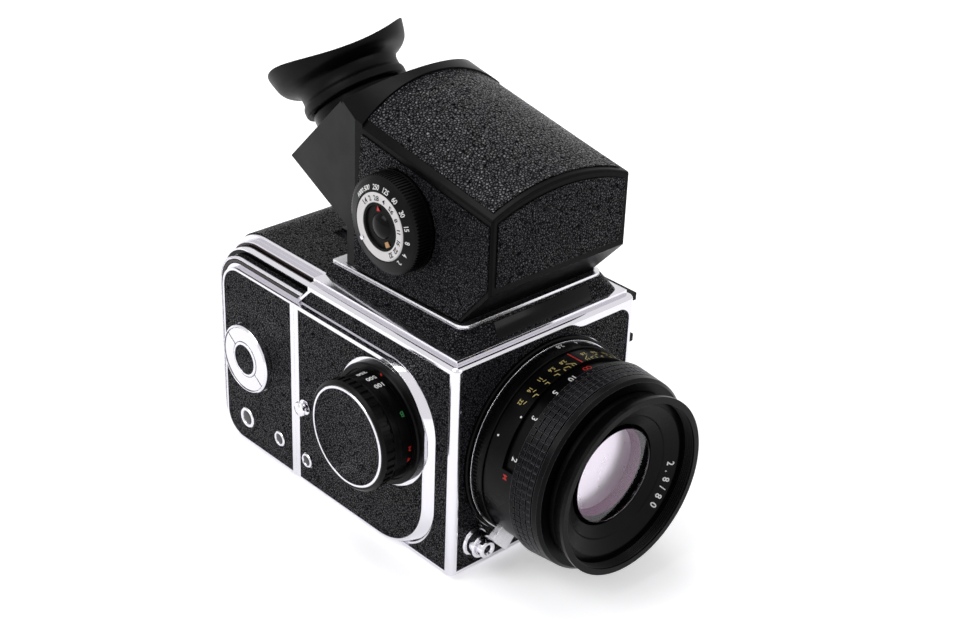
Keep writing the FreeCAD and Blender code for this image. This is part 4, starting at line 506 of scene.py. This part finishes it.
# %% Distance scale
SKIRT, WINDOW_MIDDLE = 34.58, 18.3
distances = [("10", 101.2), ("5", 115.2), ("3", 134.0), ("2", 159.8)]
finished("distance_numbers",
         gathered([wrapped(lettering(text, 2.3), SKIRT, angle, WINDOW_MIDDLE)
                   for text, angle in distances]),
         LENS_AXIS, mark_white, "focus")
LOOP_IN, LOOP_OUT, LOOP_APART, HALF_PAINT = 0.66, 1.0, 0.84, PAINT_MM / 2
ENDLESS_ANGLE, ENDLESS_BEHIND = 88.1, 0.9
loops = []
for side in (-1, 1):
    loop = moved(spun([(LOOP_IN, -HALF_PAINT), (LOOP_OUT, -HALF_PAINT),
                       (LOOP_OUT, HALF_PAINT), (LOOP_IN, HALF_PAINT)], steps=24),
                 side * LOOP_APART, 0)
    loops.append(wrapped(loop, SKIRT, ENDLESS_ANGLE, WINDOW_MIDDLE - ENDLESS_BEHIND))
finished("distance_endless", gathered(loops), LENS_AXIS, mark_red, "focus")

# %% [markdown]
# Behind the window the barrel carries the red index line and the depth of field scale in
# yellow. Each number stands off the index by an angle, and a slanted line leads from it to its
# tick. The spacing of the ticks grows with the stop, so it is worked out from the stop itself.

# %% Index and depth of field scale
BARREL, INDEX_ANGLE, TICK_PER_STOP = 35.93, 88.3, 1.54
NUMBERS_AT, LINE_FROM, TICK_FROM, SHORT_TICK_FROM, TICK_TO = 10.6, 12.3, 13.9, 14.0, 14.9
LINE_WIDE, INDEX_WIDE = 0.28, 0.5
stop_angles = {2.8: 8.0, 5.6: 16.4, 11: 25.6, 16: 33.6, 22: 42.1}


def on_barrel(start, end, width):
    return wrapped(stroke(start, end, width), BARREL, INDEX_ANGLE, 0.0)


depth_marks = []
for side in (-1, 1):
    for stop, angle in stop_angles.items():
        number = lettering("%g" % stop, 1.5)
        depth_marks.append(wrapped(number, BARREL, INDEX_ANGLE + side * angle, NUMBERS_AT))
        near, tick = (side * math.radians(a) * BARREL for a in (angle, stop * TICK_PER_STOP))
        depth_marks.append(on_barrel((near, LINE_FROM), (tick, TICK_FROM), LINE_WIDE))
        depth_marks.append(on_barrel((tick, TICK_FROM), (tick, TICK_TO), LINE_WIDE))
    for stop in (4, 8):
        tick = side * math.radians(stop * TICK_PER_STOP) * BARREL
        depth_marks.append(on_barrel((tick, SHORT_TICK_FROM), (tick, TICK_TO), LINE_WIDE))
finished("depth_scale", gathered(depth_marks), LENS_AXIS, mark_yellow, "lens")
finished("distance_index",
         gathered([on_barrel((0, 8.2), (0, TICK_TO), INDEX_WIDE),
                   wrapped(lettering("M", 1.9), BARREL, 170.9, 17.2)]),
         LENS_AXIS, mark_red, "lens")
finished("barrel_dots",
         gathered([wrapped(dot(0.4), BARREL, angle, height)
                   for angle, height in ((137.2, 14.4), (151.8, 9.3))]),
         LENS_AXIS, mark_white, "lens")

# %% [markdown]
# The aperture ring is knurled, apart from a smooth band for its numbers, and its rear edge is
# cut bright. Both are narrow turned rings that lie on the ring of the model.

# %% Aperture ring
finished("aperture_band", spun([(36.2, 2.0), (36.7, 2.0), (36.7, 4.9), (36.2, 4.9)],
                               start=4.0, sweep=94.0, steps=40),
         LENS_AXIS, anodised, "aperture")
finished("aperture_edge", spun([(35.8, 1.32), (36.5, 1.32), (36.98, 1.8), (36.98, 2.1),
                                (35.8, 2.1)], steps=128),
         LENS_AXIS, chrome, "aperture")
stops = ["2.8", "4", "5.6", "8", "11", "16", "22"]
FIRST_STOP_ANGLE, STOP_STEP, BAND, BAND_MIDDLE = 87.2, 12.5, 36.72, 3.4
finished("aperture_numbers",
         gathered([wrapped(lettering(text, 1.8), BAND, FIRST_STOP_ANGLE - STOP_STEP * i,
                           BAND_MIDDLE) for i, text in enumerate(stops)]),
         LENS_AXIS, mark_white, "aperture")

# %% [markdown]
# The front of the lens has a thread for filters and a sloping ring with the speed and focal
# length of a standard lens. The thread is drawn as five plain ridges, because its pitch of
# 0.75 mm is too small for the lead of a helix to show.

# %% Filter thread and front numbers
CREST, ROOT, THREAD_WALL, THREAD_START, HALF_PITCH = 30.6, 31.05, 31.2, 39.0, 0.375
ridges = [(CREST if i % 2 else ROOT, THREAD_START + HALF_PITCH * i) for i in range(11)]
wall = [(THREAD_WALL, ridges[-1][1]), (THREAD_WALL, THREAD_START)]
finished("filter_thread", spun(ridges + wall, steps=128), LENS_AXIS, anodised, "lens_front")
NAME_RING_SLOPE, NUMBERS_OUT, NUMBERS_ANGLE, NUMBERS_HIGH = 0.48, 26.0, -27.0, 37.4
finished("front_numbers",
         wrapped(lettering("2.8/80", 2.4, spacing=2.1), NUMBERS_OUT, NUMBERS_ANGLE,
                 NUMBERS_HIGH, climb=(1, NAME_RING_SLOPE), stand=(-NAME_RING_SLOPE, 1),
                 sense=-1),
         LENS_AXIS, mark_white, "lens_front")

# %% [markdown]
# The shutter speeds are on the collar behind the winding knob. They read along the axis, away
# from the body, so the flat words are turned a quarter before they are bent round. The
# fastest speeds are white, the slow ones red, and the open setting is green.

# %% Shutter speeds
COLLAR, FAST_FROM, SLOW_FROM, QUARTER = 19.75, 2.9, 3.0, math.radians(90)
fast_speeds = [("1000", -14.3), ("500", -1.0), ("250", 14.5)]
finished("speed_numbers",
         gathered([wrapped(turned(lettering(text, 1.9, spacing=1.04, align="LEFT"), QUARTER),
                           COLLAR, angle, FAST_FROM) for text, angle in fast_speeds]),
         KNOB_AXIS, mark_white, "speed_dial")
finished("speed_open",
         wrapped(turned(lettering("B", 2.0, align="LEFT"), QUARTER), COLLAR, -52.0,
                 SLOW_FROM),
         KNOB_AXIS, mark_green, "speed_dial")
finished("speed_slow",
         gathered([wrapped(turned(lettering(text, 1.9, align="LEFT"), QUARTER), COLLAR, angle,
                           SLOW_FROM) for text, angle in (("2", -89.5), ("4", -103.0))]),
         KNOB_AXIS, mark_red, "speed_dial")
finished("speed_index", wrapped(dot(0.55), 21.4, -7.2, 2.42, climb=(1, 0), stand=(0, 1),
                                sense=-1),
         KNOB_AXIS, mark_red, "camera")

# %% [markdown]
# The exposure dial on the finder has two scales: speeds in white on a black cone, and stops in
# black on a white ring. Both read clockwise with their tops outwards. The cone falls outwards,
# so its numbers climb down the slope while they climb outwards.

# %% Exposure dial
CONE_SLOPE, SPEEDS_OUT, SPEEDS_HIGH = -0.351, 13.75, 9.15
speeds = [("1000", 51.0), ("500", 32.6), ("250", 11.4), ("125", -9.3), ("60", -30.0),
          ("30", -51.5), ("15", -72.6), ("8", -94.4), ("4", -115.6), ("2", -134.9)]
finished("meter_speeds",
         gathered([wrapped(lettering(text, 1.7, spacing=0.9), SPEEDS_OUT, angle,
                           SPEEDS_HIGH, climb=(1, CONE_SLOPE), stand=(-CONE_SLOPE, 1),
                           sense=-1) for text, angle in speeds]),
         DIAL_AXIS, mark_white, "meter_speed")
RING_SLOPE_UP, STOPS_OUT, STOPS_HIGH = 0.06, 10.15, 9.81
meter_stops = [("1.4", 47.5), ("2", 29.1), ("2.8", 9.4), ("4", -12.1), ("5.6", -35.6),
               ("8", -57.0), ("11", -79.2), ("16", -101.5), ("22", -122.4), ("32", -142.3)]
finished("meter_stops",
         gathered([wrapped(lettering(text, 1.8, spacing=0.85), STOPS_OUT, angle, STOPS_HIGH,
                           climb=(1, RING_SLOPE_UP), stand=(0, 1), sense=-1)
                   for text, angle in meter_stops]),
         DIAL_AXIS, mark_black, "meter_stop")

# %% [markdown]
# Inside the white ring the dial is sunk and dark. A small glossy black dome stands in its
# middle, with a red triangle that shows where to read and a tan patch beside it. The dome is an
# arc turned round the axis, and the triangle is a cone with three sides. A small bright pin on
# the ring turns the stops.

# %% Middle of the dial
DOME_WIDE, DOME_MIDDLE, DOME_HIGH, DOME_FOOT = 5.2, 7.7, 3.0, 8.6
ways = [math.radians(degrees) for degrees in range(0, 67, 6)]
dome = [(DOME_WIDE * math.sin(way), DOME_MIDDLE + DOME_HIGH * math.cos(way)) for way in ways]
finished("dial_dome", spun([(0, DOME_FOOT)] + dome + [(dome[-1][0], DOME_FOOT)], steps=48),
         DIAL_AXIS, enamel_gloss, "finder")
TRIANGLE, TRIANGLE_THICK = 1.15, 0.2
triangle = bmesh.new()
bmesh.ops.create_cone(triangle, cap_ends=True, segments=3, radius1=TRIANGLE,
                      radius2=TRIANGLE, depth=TRIANGLE_THICK)
finished("dial_triangle",
         wrapped(triangle, 6.2, 11.4, 9.25, climb=(1, 0), stand=(0, 1), sense=-1),
         DIAL_AXIS, mark_red, "finder")
finished("dial_patch",
         wrapped(stroke((-0.1, 0), (0.1, 0), 2.0), 6.6, -147.0, 9.2, climb=(1, 0),
                 stand=(0, 1), sense=-1),
         DIAL_AXIS, mark_tan, "finder")
PIN_OUT, PIN_ANGLE = 11.0, math.radians(129)
pin = spun([(0, 9.4), (0.95, 9.4), (0.95, 10.1), (0.8, 10.5), (0.45, 10.75), (0, 10.85)],
           steps=24)
finished("dial_pin",
         moved(pin, PIN_OUT * math.cos(PIN_ANGLE), PIN_OUT * math.sin(PIN_ANGLE)),
         DIAL_AXIS, chrome, "meter_stop")

# %% [markdown]
# The film key has a disc of leatherette set in its boss, and the counter and the two signals
# look out through small dark windows. All are discs with a slight crown, so one profile makes
# them in their sizes.

# %% Discs in the film key and the windows
def crowned_disc(radius, low, high):
    rim_high, crown_out, crown_high = high - 0.12, radius - 0.15, high - 0.03
    return spun([(0, low), (radius, low), (radius, rim_high), (crown_out, crown_high),
                 (radius / 2, high), (0, high)], steps=48)


finished("key_leather", crowned_disc(5.9, 2.3, 2.65), KEY_AXIS, side_leatherette, "key")
for name, y, z, radius, body in (("window_counter", 74.0, 13.5, 2.75, "insert"),
                                 ("window_film_signal", 53.3, 13.9, 2.03, "insert"),
                                 ("window_body_signal", 36.4, 12.5, 1.9, "camera")):
    finished(name, crowned_disc(radius, 0.0, 0.2), axis_at((-45, y, z), (-90, "Y")),
             dark_window, body)

# %% [markdown]
# The eyecup is moulded rubber: a bead that grips the tube, a waist, and a wide flared lip that
# dips like a saddle to fit the brow. The model's solid has its size, but hard corners, so a
# rounder one takes its place. Its profile is turned, the heights of the lip are then scaled
# with the angle to form the saddle, and a subdivision surface rounds it all.

# %% Eyecup
CUP_WAIST, CUP_TOP, SADDLE_LOW, SADDLE_RADIUS, LIP = 16.2, 28.0, 20.5, 52.35, 27.0
cup = spun([(16.66, 7.6), (19.6, 7.6), (20.15, 7.9), (20.15, 11.0), (19.5, 11.6), (19.1, 12.4),
            (19.0, 14.4), (19.3, 16.2), (20.6, 17.8), (23.2, 18.9), (25.0, 20.4), (25.9, 22.6),
            (26.5, 25.4), (27.0, 27.7), (26.9, 28.0), (25.3, 28.0), (25.1, 27.6), (24.5, 25.0),
            (23.7, 22.6), (22.3, 21.2), (19.9, 20.0), (17.9, 18.2), (17.3, 16.4), (17.3, 12.0),
            (16.66, 11.8)], steps=64)
for vert in cup.verts:
    if vert.co.z > CUP_WAIST:
        across = LIP * vert.co.x / math.hypot(vert.co.x, vert.co.y)
        rise = SADDLE_RADIUS - math.sqrt(SADDLE_RADIUS ** 2 - across ** 2)
        stretch = (min(CUP_TOP, SADDLE_LOW + rise) - CUP_WAIST) / (CUP_TOP - CUP_WAIST)
        vert.co.z = CUP_WAIST + (vert.co.z - CUP_WAIST) * stretch
eyecup = finished("eyecup_formed", cup, EYE_AXIS, rubber, "eyecup")
rounding = eyecup.modifiers.new("rounding", "SUBSURF")
rounding.levels = rounding.render_levels = 1
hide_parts("eyecup")

# %% [markdown]
# A smooth plate sits on the front slope of the shoulder, where a maker would put a name. Here
# it stays bare. It is a thin box with its edges bevelled, tilted to the slope, and sunk until
# its face stands a tenth of a millimetre above the leatherette.

# %% Bare plate on the shoulder
PLATE_SIZE, PLATE_BEVEL = (45.0, 6.2, 0.5), 0.2
PLATE_AXIS = axis_at((2.0, -37.35, 91.4), (65.1, "X"))
plate = bmesh.new()
bmesh.ops.create_cube(plate, size=1.0)
bmesh.ops.scale(plate, vec=PLATE_SIZE, verts=plate.verts[:])
bmesh.ops.bevel(plate, geom=plate.edges[:], offset=PLATE_BEVEL, offset_type="OFFSET",
                segments=2, profile=0.5, affect="EDGES", material=-1)
finished("name_plate_bare", plate, PLATE_AXIS, enamel_gloss, "camera")

# %% [markdown]
# The magazine's sides are stepped like a picture frame: bright mouldings with dark grooves
# between them run from the front, over the top, down the back and under. The steps are in the
# solids. The shade in the grooves and seams is painted on them as dark brown and black lines, and
# one strip has bright edges, so each is a thin ribbon between two chains of points round the
# magazine, bridged and given a wall. A chain is the side outline grown by a step, as the
# mouldings are, at a distance x from the middle.

# %% Lines round the magazine
MAGAZINE_BACK, MAGAZINE_TOP, MAGAZINE_LOW, MAGAZINE_ROUND = 87.5, 76.7, 2.5, 10.0
MAGAZINE_FRONT, TOP_FRONT, RIBBON_WALL = 44.4, 37.5, 0.05


def quarter_circle(y, z, radius, first):
    ways = [math.radians(degrees) for degrees in range(first, first - 91, -9)]
    return [(y + radius * math.cos(way), z + radius * math.sin(way)) for way in ways]


def side_chain(build, x, step):
    rear, top, bend = MAGAZINE_BACK + step, MAGAZINE_TOP + step, MAGAZINE_ROUND + step
    points = [(max(TOP_FRONT, MAGAZINE_FRONT - step), top),
              *quarter_circle(rear - bend, top - bend, bend, 90),
              *quarter_circle(rear - MAGAZINE_ROUND, MAGAZINE_LOW + MAGAZINE_ROUND,
                              MAGAZINE_ROUND, 0),
              (MAGAZINE_FRONT, MAGAZINE_LOW)]
    chain = [build.verts.new((x, y, z)) for y, z in points]
    return [build.edges.new(pair) for pair in zip(chain, chain[1:])]


def ribbon(near, far):
    build = bmesh.new()
    edges = side_chain(build, *near) + side_chain(build, *far)
    bmesh.ops.bridge_loops(build, edges=edges)
    bmesh.ops.solidify(build, geom=build.faces[:], thickness=RIBBON_WALL)
    return build


RAIL, BAND_SIDE, STRIP = 36.08, 40.08, 43.08
# All but the bright strip edge are painted shade in the grooves and seams.
ribbons = {
    "rail_groove_shade": (groove_shade_brown, "shell_enamel", [((RAIL, 6.28), (RAIL, 7.3)),
                                                   ((RAIL, 6.28), (37.1, 6.28))]),
    "band_groove_shade": (enamel_gloss, "shell_enamel", [((BAND_SIDE, 3.98), (BAND_SIDE, 5.6))]),
    "strip_edge": (chrome, "chrome", [((42.3, 3.98), (STRIP, 3.98)),
                                      ((STRIP, 3.1), (STRIP, 3.98))]),
    "seam_groove_shade": (groove_shade_brown, "shell_enamel", [((STRIP, 1.7), (STRIP, 2.6))]),
    "seam_line_shade": (enamel_gloss, "shell_enamel", [((STRIP, 1.3), (STRIP, 1.7)),
                                                 ((STRIP, 2.6), (STRIP, 3.0))]),
}
for name, (material, slot, bands) in ribbons.items():
    pieces = [ribbon((side * near[0], near[1]), (side * far[0], far[1]))
              for side in (-1, 1) for near, far in bands]
    finished(name, gathered(pieces), Matrix.Scale(MM, 4), material, "magazine")

# %% [markdown]
# The front element is drawn as a thin shell of glass, because light bent in a solid one hides
# what lies behind it and is noisy in a short render. Behind it a pale coated surface closes the
# lens and mirrors the white room. A purple one stands round it, as the coated edges of the deeper
# elements do. The barrel near the front is black.

# %% Glass and coated surfaces of the lens
SEGMENTS = 8
ELEMENT, ELEMENT_TOP, ELEMENT_DROP, GLASS_WALL = 17.6, 35.6, 1.3, 0.5
HOLLOW, HOLLOW_LOW, HOLLOW_RISE = 16.2, 26.0, 0.5
steps = [i / SEGMENTS for i in range(SEGMENTS + 1)]
shell_outer = [(ELEMENT * share, ELEMENT_TOP - ELEMENT_DROP * share ** 2) for share in steps]
shell_inner = [(radius, height - GLASS_WALL) for radius, height in reversed(shell_outer)]
element = finished("front_element_shell", spun(shell_outer + shell_inner), LENS_AXIS,
                   front_glass, "lens_front")
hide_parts("front_element")
hollow = [(HOLLOW * share, HOLLOW_LOW + HOLLOW_RISE * share ** 2) for share in steps]
finished("coated_middle", spun(hollow + [(HOLLOW, 25.6), (0, 25.4)]), LENS_AXIS, coating_pale,
         "lens_front")
EDGE_TOP = 30.6
# Painted reflection of the deeper coated edges, in purple.
finished("coated_edge_reflection",
         spun([(HOLLOW, 26.5), (17.0, EDGE_TOP), (17.4, EDGE_TOP), (16.6, 26.5)]),
         LENS_AXIS, coating_reflection_purple, "lens_front")
finished("front_baffle",
         spun([(17.0, EDGE_TOP), (17.6, 34.2), (17.8, 34.2), (17.4, EDGE_TOP)]),
         LENS_AXIS, anodised, "lens_front")

# %% [markdown]
# The floor is a wide pale sheet like the table in a studio. The world and the sheet are white to
# the camera, and also to rays that a metal or a glass sends on, so that chrome mirrors the white
# room. To the rest of the object they are softer, so that the lamps stay at a plain level and
# the black covering keeps its depth.

# %% Floor and world
FLOOR_HALF, FLOOR_GLOW, DIM_ROOM, WHITE_ROOM = 3.0, 0.42, 0.45, 1.0


def seen_or_mirrored(tree):
    path = add(tree, "ShaderNodeLightPath")
    first = add(tree, "ShaderNodeMath", {"operation": "MAXIMUM"},
                _0=path.outputs["Is Camera Ray"], _1=path.outputs["Is Glossy Ray"])
    return add(tree, "ShaderNodeMath", {"operation": "MAXIMUM"}, _0=first.outputs[0],
               _1=path.outputs["Is Transmission Ray"]).outputs[0]


sheet = bmesh.new()
bmesh.ops.create_grid(sheet, x_segments=1, y_segments=1, size=FLOOR_HALF)
sheet_mesh = bpy.data.meshes.new("studio_floor")
sheet.to_mesh(sheet_mesh)
sheet.free()
studio_floor = bpy.data.objects.new("studio_floor", sheet_mesh)
scene.collection.objects.link(studio_floor)

floor_paint, tree = new_material("studio_floor_paint")
diffuse = add(tree, "ShaderNodeBsdfDiffuse", Color=linear("#F7F7F9"))
glow = add(tree, "ShaderNodeEmission", Color=linear("#FFFFFF"), Strength=FLOOR_GLOW)
both = add(tree, "ShaderNodeAddShader", _0=diffuse.outputs[0], _1=glow.outputs[0])
seen = add(tree, "ShaderNodeMixShader", _0=seen_or_mirrored(tree), _1=diffuse.outputs[0],
           _2=both.outputs[0])
add(tree, "ShaderNodeOutputMaterial", Surface=seen.outputs[0])
dress(studio_floor, floor_paint)

world = bpy.data.worlds.new("studio_world")
scene.world = world
world.use_nodes = True
tree = world.node_tree
tree.nodes.clear()
around = add(tree, "ShaderNodeTexCoord")
split = add(tree, "ShaderNodeSeparateXYZ", _0=around.outputs["Generated"])
sky = add(tree, "ShaderNodeValToRGB", Fac=split.outputs["Z"])
sky.color_ramp.elements[0].position = 0.0
sky.color_ramp.elements[0].color = linear("#B9BABF")
sky.color_ramp.elements[1].position = 0.75
sky.color_ramp.elements[1].color = linear("#FFFFFF")
dim = add(tree, "ShaderNodeBackground", Color=sky.outputs[0], Strength=DIM_ROOM)
white = add(tree, "ShaderNodeBackground", Color=linear("#FFFFFF"), Strength=WHITE_ROOM)
mixed = add(tree, "ShaderNodeMixShader", _0=seen_or_mirrored(tree), _1=dim.outputs[0],
            _2=white.outputs[0])
add(tree, "ShaderNodeOutputWorld", Surface=mixed.outputs[0])
print("floor:", studio_floor.name, "and world:", world.name)

# %% [markdown]
# Three large soft lamps light the camera: one from the left, which draws the bright edge of the
# eyecup and the dial, a weaker one from the front, and one above. They are wide, so that their
# shadows are faint, as in the photograph.

# %% Lamps
LAMP_AIM = Vector((0, 0, 0.06))
for name, place, size, power in (("lamp_left", (-1.3, 0.25, 1.35), (1.1, 0.9), 14.0),
                                 ("lamp_front", (0.6, -1.8, 1.1), (1.2, 0.8), 9.0),
                                 ("lamp_top", (0.1, 0.5, 1.9), (1.0, 1.0), 13.0)):
    lamp = bpy.data.objects.new(name, bpy.data.lights.new(name, "AREA"))
    lamp.data.shape = "RECTANGLE"
    lamp.data.size, lamp.data.size_y = size
    lamp.data.energy = power
    facing = (LAMP_AIM - Vector(place)).to_track_quat("-Z", "Y")
    lamp.matrix_world = Matrix.Translation(place) @ facing.to_matrix().to_4x4()
    scene.collection.objects.link(lamp)
